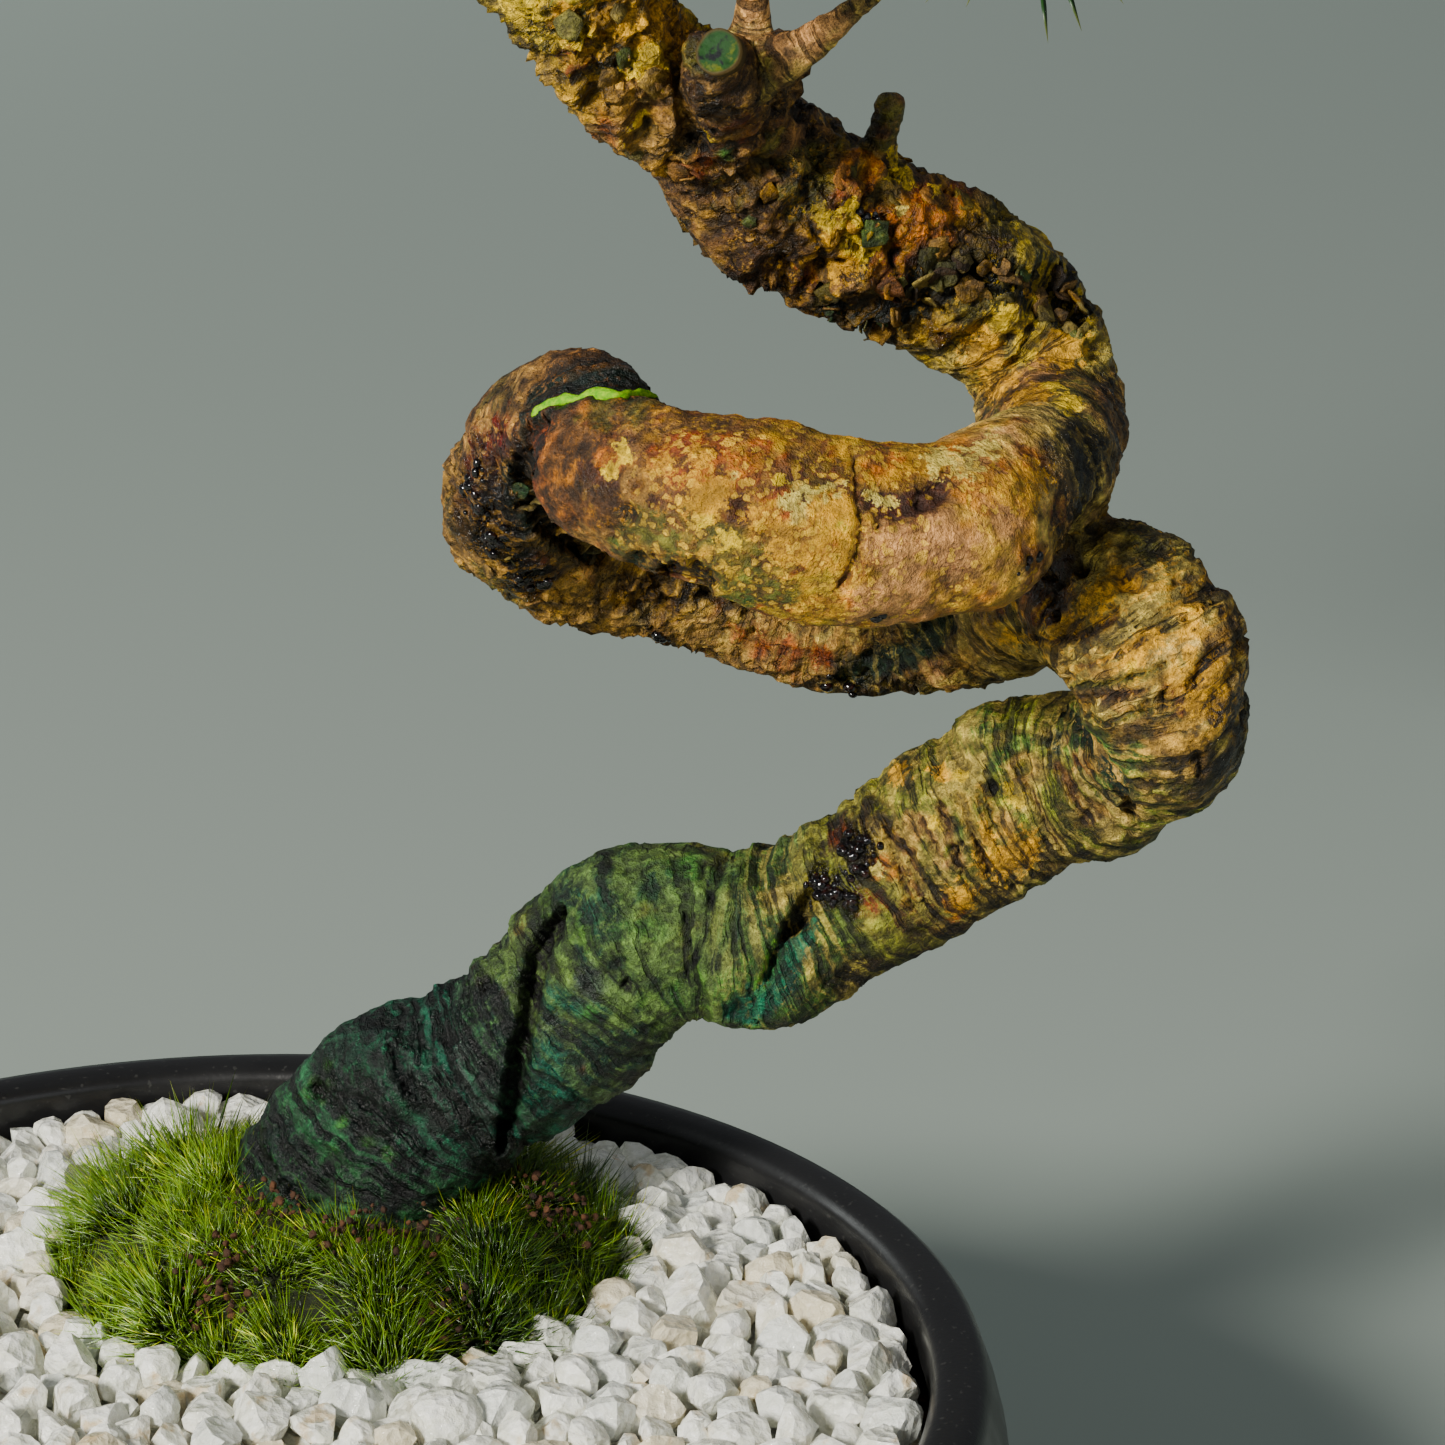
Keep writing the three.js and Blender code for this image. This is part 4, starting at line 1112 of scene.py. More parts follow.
# %% Stains and lichen
PATCHES = {
    "pine": [
        (300, 1120, 5), (345, 1065, 4), (420, 1030, 5), (455, 1130, 6), (545, 1110, 6), (585, 1090, 6),
        (560, 1060, 5), (540, 1030, 3), (600, 905, 3), (655, 885, 3), (700, 592, 1.6), (750, 596, 1.6),
        (850, 680, 3), (890, 655, 3),
    ],
    # From (538, 413) on, these patches along the top of the coil are painted shadow over the strip of live
    # wood; the rest is the wet, dark bark of the foot.
    "night": [
        (285, 1150, 6), (430, 1060, 6), (470, 1090, 6), (400, 1085, 4), (500, 1110, 5), (480, 1000, 5),
        (500, 1050, 5), (340, 1110, 6), (370, 1150, 6), (538, 413, 1.8), (545, 402, 2.4), (558, 390, 3),
        (578, 381, 3), (600, 377, 3), (620, 378, 3), (640, 383, 2.6), (657, 390, 2),
    ],
    "leaf": [
        (330, 1068, 1), (341, 1124, 0.8), (370, 1140, 0.9), (388, 1155, 0.8), (330, 1150, 0.8),
        (655, 930, 2), (590, 1010, 1.4), (700, 880, 3), (685, 1000, 2), (780, 850, 3), (760, 1010, 2),
        (735, 1016, 2), (668, 552, 3.2), (705, 572, 3.2), (742, 584, 3), (636, 542, 2.8), (608, 532, 2.2),
        (775, 594, 2), (1075, 745, 2), (1100, 770, 2.4), (1010, 820, 1.6), (958, 830, 1.5), (700, 122, 1.4),
        (725, 150, 1), (985, 725, 2), (1000, 760, 1.6), (1020, 745, 1.4), (1090, 735, 3), (1115, 765, 2.6),
        (1140, 748, 2),
    ],
    "teal": [(556, 1000, 2.4), (548, 1055, 2.4), (545, 1090, 3), (570, 1120, 3), (590, 905, 1.5)],
    # The first three grey patches, on the foot, are a painted highlight, a sheen on the wet bark.
    "slate": [
        (455, 1075, 3), (480, 1110, 2.5), (445, 1110, 2), (548, 1025, 1.6), (590, 985, 2.2),
        (585, 480, 1.6), (600, 482, 1.6), (1052, 738, 1.5),
    ],
    "sage": [
        (505, 955, 3), (632, 860, 3), (560, 950, 2), (650, 960, 3), (690, 905, 3), (720, 940, 3),
        (785, 845, 3), (755, 930, 3), (845, 980, 3), (795, 1005, 2), (620, 1000, 2),
    ],
    "umber": [
        (840, 838, 3), (870, 820, 2.4), (925, 930, 5), (990, 905, 5), (1060, 865, 4), (860, 985, 4),
        (1190, 760, 5), (1220, 700, 4), (1228, 640, 3), (1215, 580, 3), (600, 500, 4), (580, 455, 3),
        (625, 515, 3), (560, 500, 2), (655, 520, 2), (640, 505, 3), (590, 520, 3), (760, 235, 5),
        (740, 270, 4), (720, 130, 2.4), (690, 590, 2), (600, 440, 3), (655, 450, 2.4), (620, 485, 2.4),
        (690, 455, 2),
    ],
    "bark": [
        (690, 430, 3), (640, 425, 3), (740, 435, 3), (810, 445, 2.4), (870, 455, 2), (720, 470, 1.4),
        (765, 480, 1.6), (700, 490, 1.6), (670, 500, 2), (620, 470, 2.4), (790, 470, 1.4),
    ],
    "tan": [
        (915, 830, 1.8), (905, 850, 1.6), (1115, 700, 2), (1100, 680, 2), (1140, 720, 2.4), (1165, 740, 2),
        (1000, 820, 2), (1090, 815, 2), (620, 640, 4), (680, 655, 4), (560, 610, 3), (880, 650, 3),
        (468, 555, 3), (490, 600, 4), (520, 620, 4), (474, 515, 2), (470, 480, 2), (585, 625, 4),
        (730, 665, 4), (780, 680, 4), (960, 660, 3), (985, 640, 3), (590, 540, 2),
    ],
    "straw": [
        (1065, 545, 3), (1090, 560, 3), (1050, 530, 2), (1110, 640, 3), (1075, 650, 2.4), (1130, 690, 2),
    ],
    "rust": [
        (837, 833, 1.4), (868, 905, 1.8), (515, 552, 1.5), (525, 575, 1.5), (505, 425, 1.6),
        (512, 447, 1.4), (700, 440, 1.2), (655, 455, 1.4), (757, 648, 2), (737, 640, 1.6), (785, 655, 2),
        (720, 450, 1.4), (760, 452, 1.4), (680, 445, 1.4), (820, 660, 1.4), (925, 200, 1.6),
        (890, 245, 1.4), (915, 265, 1.6), (840, 175, 1.6), (860, 170, 1.6), (810, 285, 1.5),
        (480, 450, 1.4), (478, 480, 2), (1090, 765, 2), (1180, 705, 1.6), (1065, 508, 2), (950, 265, 1.6),
        (610, 125, 2), (700, 165, 2), (575, 60, 2), (885, 215, 1.6),
    ],
    "cocoa": [
        (800, 480, 1.4), (812, 475, 1.9), (826, 476, 2), (840, 482, 1.6), (848, 491, 1), (805, 491, 1.3),
        (815, 520, 0.8), (803, 527, 0.5), (867, 494, 1.1), (877, 500, 1.3), (889, 505, 1.4),
        (902, 509, 1.5), (916, 507, 1.6), (928, 500, 1.6), (937, 492, 1.6), (941, 485, 1.2),
        (741, 512, 1.5), (738, 505, 1.3), (716, 452, 0.8), (690, 470, 0.7), (770, 462, 0.8),
        (660, 478, 0.9), (640, 462, 0.8), (795, 540, 0.7), (585, 470, 1.2), (600, 478, 1.4), (612, 488, 1),
        (630, 440, 0.8), (655, 500, 0.8), (700, 498, 0.6),
    ],
    "emerald": [
        (809, 927, 1.1), (801, 940, 1.5), (793, 953, 1.7), (786, 966, 1.7), (780, 978, 1.6),
        (772, 990, 1.5), (763, 1000, 1.5), (752, 1008, 1.5), (740, 1012, 1.3), (729, 1011, 1),
    ],
    # These marks are painted shadow: a dark crescent where the lifted bark shades the strip of live wood.
    "shadow_crescent": [
        (539, 403, 1.5), (547, 394, 1.8), (558, 388, 1.9), (572, 384, 1.9), (586, 382, 1.9),
        (601, 381, 1.9), (616, 381, 1.9), (632, 383, 1.8), (646, 387, 1.6), (658, 393, 1.3),
    ],
    "amber": [
        (880, 865, 1.6), (893, 873, 1.2), (955, 910, 1.6), (745, 462, 2), (705, 470, 1.4), (1022, 470, 2),
        (1035, 455, 1.4), (1080, 430, 2), (900, 205, 2), (925, 220, 2.4), (905, 235, 2), (940, 240, 1.8),
        (880, 275, 1.4), (610, 460, 1.6),
    ],
    "wine": [
        (492, 445, 3.2), (486, 468, 3.2), (474, 500, 2.6), (528, 578, 3.2), (504, 436, 2.8),
        (513, 449, 2.2), (517, 558, 2), (532, 566, 2), (1035, 580, 2), (1045, 600, 2), (1030, 560, 2),
        (545, 575, 1.6), (1075, 520, 3), (990, 605, 2), (1010, 282, 1.4), (1000, 278, 1.4), (945, 335, 2),
        (850, 890, 1.4),
    ],
    "gold": [
        (900, 775, 1.5), (940, 770, 1.2), (1000, 860, 3), (1020, 850, 2.6), (985, 835, 1.6), (960, 900, 2),
        (700, 500, 2.4), (720, 485, 2), (665, 465, 1.2), (790, 550, 2.4), (820, 530, 2.4), (765, 520, 2),
        (835, 510, 2), (845, 560, 2), (700, 455, 1.8), (1010, 490, 2.2), (1030, 480, 2.4), (1085, 604, 2.2),
        (1100, 590, 1.6), (1130, 655, 2), (1150, 640, 1.6), (1190, 655, 1.2), (1195, 700, 1.6),
        (1030, 395, 3), (1000, 380, 3), (985, 350, 3), (1060, 350, 3), (880, 235, 1.5), (840, 232, 1.6),
        (850, 265, 1.6), (835, 272, 1), (1062, 302, 1), (1030, 290, 1), (655, 20, 4), (620, 25, 4),
        (565, 20, 2), (690, 25, 3), (640, 40, 3), (1010, 640, 1.4), (1060, 630, 2),
    ],
    "lichen": [
        (1020, 348, 2.4), (1030, 335, 2), (1050, 385, 1.6), (1000, 318, 2), (1065, 400, 1.8),
        (865, 246, 2.4), (872, 235, 2), (856, 232, 1.8), (828, 222, 1.4), (842, 226, 1.6), (816, 210, 1.2),
        (850, 212, 1.4), (620, 447, 1), (625, 455, 1), (610, 470, 1), (780, 480, 0.8), (700, 520, 1.2),
        (730, 540, 1.4), (1016, 800, 1.2), (1010, 790, 1), (960, 775, 1), (935, 825, 1.2), (1130, 664, 1.2),
        (890, 176, 1), (905, 180, 1.2), (930, 195, 1), (895, 155, 1.2), (520, 10, 3), (505, 0, 2),
        (650, 55, 3), (700, 10, 2), (580, 35, 1.6), (640, 130, 1.4), (705, 135, 1),
    ],
    # The three larger cream spots on the front strand's right end, (940, 460) to (985, 450), are pale bark,
    # partly painted highlight along its top.
    "cream": [
        (790, 503, 1.1), (800, 513, 1.1), (795, 484, 0.6), (803, 488, 0.7), (811, 493, 0.8),
        (822, 489, 0.6), (833, 486, 0.6), (838, 495, 0.7), (826, 498, 0.6), (846, 483, 0.4),
        (869, 494, 0.7), (878, 498, 0.8), (888, 501, 0.8), (897, 502, 0.6), (874, 489, 0.5),
        (733, 476, 0.6), (940, 460, 2), (965, 465, 2), (985, 450, 1.6), (1050, 316, 0.9), (875, 870, 1),
        (900, 210, 0.7), (1048, 318, 1),
    ],
    "skin": [
        (920, 545, 4), (900, 560, 3), (885, 530, 3), (945, 540, 3), (905, 600, 4), (870, 605, 3),
        (960, 560, 3), (1005, 515, 2), (650, 112, 3), (488, 513, 1.4), (520, 510, 1), (585, 570, 1.6),
        (864, 678, 1), (868, 670, 1), (936, 672, 1.6), (912, 645, 1), (1025, 378, 2), (1045, 370, 1.6),
        (880, 300, 1), (795, 40, 3), (820, 20, 3), (755, 10, 3),
    ],
    "brick": [
        (1032, 590, 4), (1046, 572, 3), (1050, 600, 2.4), (1020, 425, 1.4), (830, 195, 1.8),
        (1000, 240, 1.6), (745, 120, 2), (960, 190, 1.6), (475, 470, 1.6), (540, 560, 1.6),
    ],
    "olive": [
        (920, 285, 2.4), (960, 300, 2.4), (990, 300, 2), (1075, 395, 4), (1085, 440, 4), (1080, 360, 3),
        (880, 180, 3), (820, 170, 3), (860, 160, 3), (1010, 225, 3), (1040, 255, 2), (800, 200, 2.4),
        (895, 110, 2), (900, 125, 2), (475, 590, 3), (500, 600, 3), (495, 575, 2), (640, 405, 2),
        (690, 548, 4), (730, 556, 4), (650, 530, 3), (765, 580, 3), (600, 410, 2), (1140, 540, 3),
        (1165, 545, 3), (690, 60, 2),
    ],
    # Near-black patches: at the right end of the front strand, in the hollow at (690, 588) and on the right
    # edges of the bends they are painted shade; on the left bow, in the crotch and at the seam they are dark
    # wet bark.
    "black_and_shade": [
        (1075, 470, 5), (1095, 490, 4), (1080, 515, 3), (1062, 545, 2), (1040, 566, 1.6), (1095, 460, 3),
        (505, 525, 3.4), (495, 545, 2.4), (515, 550, 2.4), (518, 490, 2.4), (503, 498, 3), (508, 470, 2),
        (530, 560, 2.4), (690, 588, 3), (700, 95, 2), (780, 85, 2), (800, 105, 2), (1115, 400, 3),
        (1118, 440, 3), (1100, 360, 2.4), (1065, 280, 4), (1075, 320, 3), (1235, 700, 4), (1230, 760, 3),
        (675, 95, 1.6),
    ],
    "resin": [
        (818, 884, 2.4), (826, 893, 2), (838, 880, 2), (852, 862, 2.6), (856, 840, 2.6), (845, 850, 2),
        (842, 898, 1.8), (853, 912, 1.6), (480, 470, 2), (476, 530, 3), (486, 500, 3), (500, 530, 3.4),
        (520, 580, 2.4), (535, 572, 2), (500, 505, 2.4), (512, 522, 2.2), (496, 530, 2.4), (488, 545, 2),
    ],
}
GLOSS = {"resin": 1.0, "wine": 0.9, "brick": 0.5, "black_and_shade": 0.6, "night": 0.5, "slate": 0.5}
SHARP_MARKS = {"dark_mark": ["cocoa", "emerald", "shadow_crescent"], "light_mark": ["gold", "lichen", "cream"]}
soft_names = [name for name in PATCHES if name not in sum(SHARP_MARKS.values(), [])]
patch_edge = 0.8 * rugged(skin, 2.4, 20)
gloss = 0.4 * plate_mask * smooth_step(blotch, -0.3, 0.2)


def reach_of(u, v, radius):
    """How far every point of the skin is from a pixel's place, counted in radii."""
    place = on_bark(u, v)
    return distance_to(flattened(skin, place), flattened(place[None], place)) / radius


for name in soft_names:
    for u, v, radius in PATCHES[name]:
        mask = smooth_step(-reach_of(u, v, radius) - patch_edge, -1.3, -0.7)
        # Each patch is painted lighter where the bark stands out, as painted light.
        lay_on(0.8 * mask, TONES[name] * (0.8 + 0.4 * (rough[:, None] + 0.5)))
        gloss = np.maximum(gloss, mask * GLOSS.get(name, 0))
print("patches laid:", sum(len(spots) for spots in PATCHES.values()))

# %% [markdown]
# Lichen and flaked skin have sharp edges, finer than the mesh. For these a point only keeps
# how deep it lies inside a mark, and the material draws the edge.

# %% Marks with a sharp edge
sharp_marks = {}
for layer, names in SHARP_MARKS.items():
    nearest = np.full(len(skin), 2.0)
    mark_tones = np.zeros((len(skin), 3))
    for name in names:
        for u, v, radius in PATCHES[name]:
            reach = reach_of(u, v, radius)
            closer = reach < nearest
            nearest[closer] = reach[closer]
            mark_tones[closer] = TONES[name]
    sharp_marks[layer] = (2 - nearest, mark_tones)
    print(layer, "covers", (nearest < 1).sum(), "points")

# %% [markdown]
# ## Cracks, pits and knots
# A crack follows a line of pixels. It has half a width, a depth, a tone inside and one for
# its lips. The skin is pushed in along it, so that the crack is real and casts a shadow. It
# is pushed mostly along the line of sight, as the camera looks to the bottom of each crack.

# %% Cracks
CRACKS = {
    "fissure by the foot": (
        [(560, 908), (550, 930), (538, 955), (530, 989), (524, 1026), (518, 1063), (513, 1099), (500, 1150)],
        1.5, 3.8, "black_and_shade", "pine",
    ),
    "lens crack": (
        [(812, 920), (795, 946), (782, 971), (771, 989), (753, 1008), (726, 1011)], 2.3, 1.5, "teal", "leaf",
    ),
    "lens crack, left edge": ([(784, 938), (774, 956), (767, 976), (756, 995)], 0.6, 1.4, "night", "lime"),
    "lens crack, upper": ([(813, 890), (805, 905), (796, 921), (785, 936)], 1.3, 3, "black_and_shade", "umber"),
    "crease behind the front strand": (
        [(548, 422), (534, 438), (526, 455), (524, 476), (533, 500), (546, 522), (562, 538), (580, 552)],
        1.5, 3.2, "black_and_shade", "pine",
    ),
    "crease under the front strand": (
        [(575, 552), (600, 556), (640, 562), (665, 572)], 1.3, 2, "pine", "tan",
    ),
    "bark lifted off the crown of the coil": (
        [(531, 405), (545, 392), (570, 383), (600, 380), (635, 382), (668, 392)], 1.9, 0.9, "night", "night",
    ),
    "shade over the strip": (
        [(534, 411), (546, 399), (566, 391), (590, 388), (620, 387), (654, 391)], 1.3, 0.3, "night", "pine",
    ),
    "gap behind the cheek": (
        [(838, 682), (870, 668), (905, 655), (935, 633), (950, 618)], 2.2, 2, "pine", "umber",
    ),
    # This hollow is painted near black as painted shadow, where light doesn't reach the strand below.
    "shadowed hollow": ([(664, 575), (688, 584), (708, 578)], 2.6, 4, "black_and_shade", "black_and_shade"),
    "crack across the front strand": (
        [(853, 458), (857, 499), (861, 528), (858, 552), (848, 575), (833, 590)], 0.5, 1, "umber", "gold",
    ),
    "short crack": ([(876, 514), (877, 530)], 0.4, 0.8, "umber", "skin"),
    "kidney recess": ([(866, 495), (882, 503), (902, 509), (920, 506)], 1.5, 0.7, "cocoa", "bark"),
    "kidney recess, deep end": ([(918, 504), (932, 498), (941, 486)], 1.6, 1.3, "cocoa", "bark"),
    "crease at the bend": (
        [(1060, 703), (1076, 722), (1094, 748), (1114, 775), (1134, 806)], 1, 1.3, "pine", "leaf",
    ),
    "slot under the heel": ([(1130, 800), (1131, 820)], 1.2, 2.2, "black_and_shade", "tan"),
    "ring 1": ([(1019, 634), (1055, 641), (1090, 634), (1116, 614)], 0.45, 0.6, "umber", "gold"),
    "ring 2": ([(1044, 663), (1084, 667), (1124, 652), (1148, 636)], 0.45, 0.6, "umber", "straw"),
    "ring 3": ([(1062, 689), (1102, 687), (1146, 675), (1169, 663)], 0.5, 0.7, "olive", "straw"),
    "ring 4": ([(1066, 697), (1115, 699), (1151, 690)], 0.4, 0.5, "umber", "skin"),
    "ring 5": ([(1075, 712), (1110, 722), (1150, 716), (1178, 700)], 0.4, 0.5, "olive", "straw"),
    "notch by the raised flake": ([(1163, 692), (1162, 716)], 0.7, 1.3, "black_and_shade", "tan"),
    "right crease": ([(1222, 646), (1204, 664), (1190, 690)], 0.8, 1.2, "black_and_shade", "umber"),
    "right crease, lower": ([(1187, 735), (1196, 755), (1200, 775)], 0.6, 1, "black_and_shade", "tan"),
    "band crack 1": ([(882, 822), (893, 850), (905, 884), (915, 912)], 0.5, 1.1, "umber", "gold"),
    "band crack 2": ([(894, 821), (908, 856), (922, 900)], 0.45, 1, "umber", "skin"),
    "band crack 3": ([(921, 816), (931, 836), (945, 870)], 0.45, 1, "umber", "skin"),
    "band crack 4": ([(938, 800), (949, 833), (963, 872)], 0.45, 1.1, "umber", "skin"),
    "band crack 5": ([(957, 792), (974, 830), (991, 876)], 0.5, 1.1, "umber", "gold"),
    "band crack 6": ([(975, 784), (988, 815), (1000, 846)], 0.4, 0.9, "olive", "gold"),
    "band crack 7": ([(1026, 780), (1044, 818), (1064, 852)], 0.45, 1, "umber", "straw"),
    "band crack 8": ([(1052, 760), (1078, 806)], 0.45, 1, "umber", "tan"),
    "waist crack 1": ([(700, 855), (712, 905), (714, 960), (710, 1005)], 0.5, 0.9, "night", "sage"),
    "waist crack 2": (
        [(684, 905), (688, 935), (698, 956), (684, 975), (686, 1005)], 0.5, 0.9, "night", "sage",
    ),
    "waist crack 3": ([(728, 858), (738, 905), (742, 950)], 0.4, 0.6, "pine", "sage"),
    "foot fold 1": ([(341, 1096), (380, 1110), (415, 1135), (440, 1160)], 0.8, 1.2, "night", "slate"),
    "foot fold 2": ([(392, 1050), (400, 1072), (415, 1098)], 1, 1.6, "night", "slate"),
    "foot fold 3": ([(430, 1045), (455, 1075), (470, 1110)], 0.7, 1, "night", "slate"),
    "foot fold 4": ([(316, 1083), (322, 1096)], 1.2, 1.8, "black_and_shade", "leaf"),
    "flaky seam": (
        [
            (822, 303), (850, 308), (880, 306), (903, 300), (925, 288), (950, 274), (985, 276), (1020, 286),
            (1050, 300), (1080, 318),
        ],
        2.4, 1.6, "night", "pine",
    ),
    "seam's right end": ([(1040, 270), (1065, 295), (1078, 330)], 2.4, 1.2, "black_and_shade", "pine"),
    "plate crack 1": ([(812, 222), (822, 250), (824, 290)], 0.6, 1, "black_and_shade", "gold"),
    "plate crack 2": ([(885, 215), (893, 250), (898, 300)], 0.7, 1.2, "black_and_shade", "rust"),
    "plate crack 3": ([(775, 165), (800, 180), (812, 212)], 0.6, 0.9, "black_and_shade", "olive"),
    "plate crack 4": ([(860, 150), (868, 180), (862, 205)], 0.6, 0.9, "black_and_shade", "olive"),
    "collar under the brow": ([(625, 152), (650, 138), (672, 140), (690, 150)], 1.4, 1.8, "pine", "gold"),
    "crotch crease": ([(675, 70), (684, 95), (690, 125), (705, 150)], 1.4, 2, "black_and_shade", "umber"),
}


def distance_to_line(points, line):
    """Distance to a line of points, and how far along it the nearest place is, 0 to 1."""
    best = np.full(len(points), np.inf)
    share = np.zeros(len(points))
    for n, (a, b) in enumerate(zip(line[:-1], line[1:])):
        t = np.clip(((points - a) @ (b - a)) / ((b - a) @ (b - a)), 0, 1)
        gap = np.linalg.norm(points - a - t[:, None] * (b - a), axis=1)
        nearer = gap < best
        best[nearer] = gap[nearer]
        share[nearer] = ((n + t) / (len(line) - 1))[nearer]
    return best, share


MARKED_INSIDE = ("cocoa", "teal", "night")  # in these cracks the marks go on
sunk, opened = np.zeros(len(skin)), np.zeros(len(skin))
crack_edge = 0.45 * rugged(skin, 1.8, 23)
near_side = smooth_step((facing * unit(CAMERA_PLACE - skin)).sum(1), -0.3, 0.0)
for line, half_width, depth, inside, lips in CRACKS.values():
    route = np.array([on_bark(u, v) for u, v in line])
    middle = route.mean(axis=0)
    gap, share = distance_to_line(
        flattened(skin, middle, CRACK_DEPTH_SHARE), flattened(route, middle, CRACK_DEPTH_SHARE)
    )
    taper = smooth_step(np.minimum(share, 1 - share), -0.02, 0.14) * 0.6 + 0.4
    reach = gap / (half_width * taper) + crack_edge
    cut = smooth_step(-reach, -1.15, -0.45) * near_side
    sunk += depth * cut
    rise += 0.25 * min(half_width, 1.2) * np.exp(-(((reach - 1.7) / 0.6) ** 2)) * near_side
    lay_on(0.5 * smooth_step(-reach, -2.2, -1.2) * near_side, TONES[lips])
    # The tone inside a crack is partly painted shade: the deep cracks, creases and gaps get near-black tones
    # where shade falls, while the teal and cocoa insides are the bark's own colour.
    lay_on(0.95 * smooth_step(-reach, -1.1, -0.8) * near_side, TONES[inside])
    furrow_shade = np.where(cut > 0.5, 0, furrow_shade)
    if inside not in MARKED_INSIDE:
        opened = np.maximum(opened, cut)
print("cracks cut:", len(CRACKS))

# %% [markdown]
# Pits are round holes left by needles and insects. A knot is a pit with a raised ring, where
# a twig once stood.

# %% Pits and knots
PITS = {
    "black_and_shade": [
        (989, 788, 1.1, 1.5), (958, 849, 1, 1.3), (1080, 568, 1.1, 1.6), (1053, 617, 0.9, 1.4),
        (1110, 606, 0.8, 1.2), (1138, 582, 1, 1.2), (626, 986, 0.9, 1.3), (628, 513, 1.2, 0.9),
        (1043, 573, 0.8, 1), (900, 255, 0.8, 1), (1029, 329, 0.8, 0.8), (1010, 337, 0.8, 0.9),
    ],
    "umber": [
        (1124, 578, 1.3, 1.1), (1063, 739, 0.9, 0.7), (1050, 590, 3, 0.9), (1088, 820, 1.1, 0.6),
        (720, 470, 0.7, 0.5), (752, 452, 0.7, 0.6), (806, 537, 0.7, 0.6), (945, 470, 0.6, 0.5),
    ],
}
KNOTS = {
    "tan": [(1024, 768, 1.5, 0.7), (638, 485, 1.5, 0.5), (648, 114, 3.4, 1.2), (590, 44, 1.2, 0.9)],
    "amber": [(857, 173, 2, 0.9), (884, 216, 1, 0.7), (752, 462, 1, 0.3), (943, 205, 1.8, 0.6)],
    "cream": [(1013, 361, 1.4, 0.7), (1092, 352, 2, 0.9)],
    "bark": [(741, 510, 1.7, 0.5)],
}
for inside, holes in PITS.items():
    for u, v, radius, depth in holes:
        reach = reach_of(u, v, radius) + 0.6 * crack_edge
        rise -= depth * smooth_step(-reach, -1.1, -0.5)
        # The dark tone inside a pit is partly painted shade in the hole.
        lay_on(0.9 * smooth_step(-reach, -1.1, -0.8), TONES[inside])
        opened = np.maximum(opened, smooth_step(-reach, -1.2, -0.8))
for ring_tone, knots in KNOTS.items():
    for u, v, radius, height in knots:
        reach = reach_of(u, v, radius) + 0.4 * crack_edge
        ring = np.exp(-(((reach - 1) / 0.35) ** 2))
        rise += height * (ring - 0.8 * np.exp(-((reach / 0.6) ** 2)))
        lay_on(0.8 * ring, TONES[ring_tone])
        lay_on(0.6 * np.exp(-((reach / 0.5) ** 2)), TONES["umber"])
print("pits and knots made:", sum(map(len, PITS.values())) + sum(map(len, KNOTS.values())))

# %% [markdown]
# The grooves are painted darker, as painted shade, and the wet places get small bumps. Then
# all the relief moves the skin at once, and each point keeps the values that the material reads.

# %% The skin moves
SPOTTED_FROM, SPOTTED_TO = (340, 352), (380, 394)

# Grooves and plate borders are painted darker, as painted shade.
lay_on(0.8 * furrow_shade, colours * 0.3)
rise += gloss * 0.8 * np.abs(grain(skin, 1.6, 25))
inwards = unit(3 * unit(skin - CAMERA_PLACE) - facing)
skin = skin + facing * rise[:, None] + inwards * sunk[:, None]
move_points(wood, skin)
wood.data.shade_smooth()
store(wood, "straight", "FLOAT_VECTOR", straight)
store(wood, "bark_tone", "FLOAT_COLOR", with_alpha(np.clip(colours, 0, 1)))
store(wood, "fleck_tone", "FLOAT_COLOR", with_alpha(flecks))
store(wood, "gloss", "FLOAT", gloss)
for layer, (depth_inside, mark_tones) in sharp_marks.items():
    store(wood, layer, "FLOAT", depth_inside * (1 - opened))
    store(wood, layer + "_tone", "FLOAT_COLOR", with_alpha(mark_tones))
store(wood, "wrinkled", "FLOAT", wrinkled)
store(wood, "plated", "FLOAT", plated)
spotted = smooth_step(distance_along, *SPOTTED_FROM) * (1 - smooth_step(distance_along, *SPOTTED_TO))
store(wood, "spotted", "FLOAT", spotted)
print("bark between", skin.min(0).round(), "and", skin.max(0).round(), "mm")

# %% [markdown]
# ## The bark's surface
# The points carry the tones and the large relief. The material adds what is finer than they
# can hold: rings a millimetre apart, small chips, grain, flecks of lichen, and wet resin.

# %% The bark's surface
FINE_RING_SPACING = 1.3
CHIP_SIZE = 1.2
CRACK_SIZE = 3.4
SPOT_SIZE = 1.4
MARK_EDGE_SIZE = 1.2

bark = Finish("pine_bark", IOR=1.45)
here = bark.place()
unrolled = bark.attribute("straight", "Vector")
painted = bark.attribute("bark_tone")
wet = bark.attribute("gloss", "Fac")
folded = bark.attribute("wrinkled", "Fac")
broken = bark.attribute("plated", "Fac")
spotted = bark.attribute("spotted", "Fac")
times = bark.times

push = {"operation": "MULTIPLY_ADD"}
sway = bark.noise(here, 8, 3, 0.5, "Color")
swayed = bark.node("VectorMath", push, i0=sway, i1=(4, 4, 4), i2=unrolled)
stretched = bark.node("Mapping", Vector=swayed, Scale=(1 / FINE_RING_SPACING, 1 / 16, 1 / 16))
wrinkle = bark.noise(stretched, 1, 3, 0.6)
rings = times(bark.ramp(wrinkle, 0.5, 0.4), folded)
ridges = times(bark.ramp(wrinkle, 0.52, 0.6), folded)

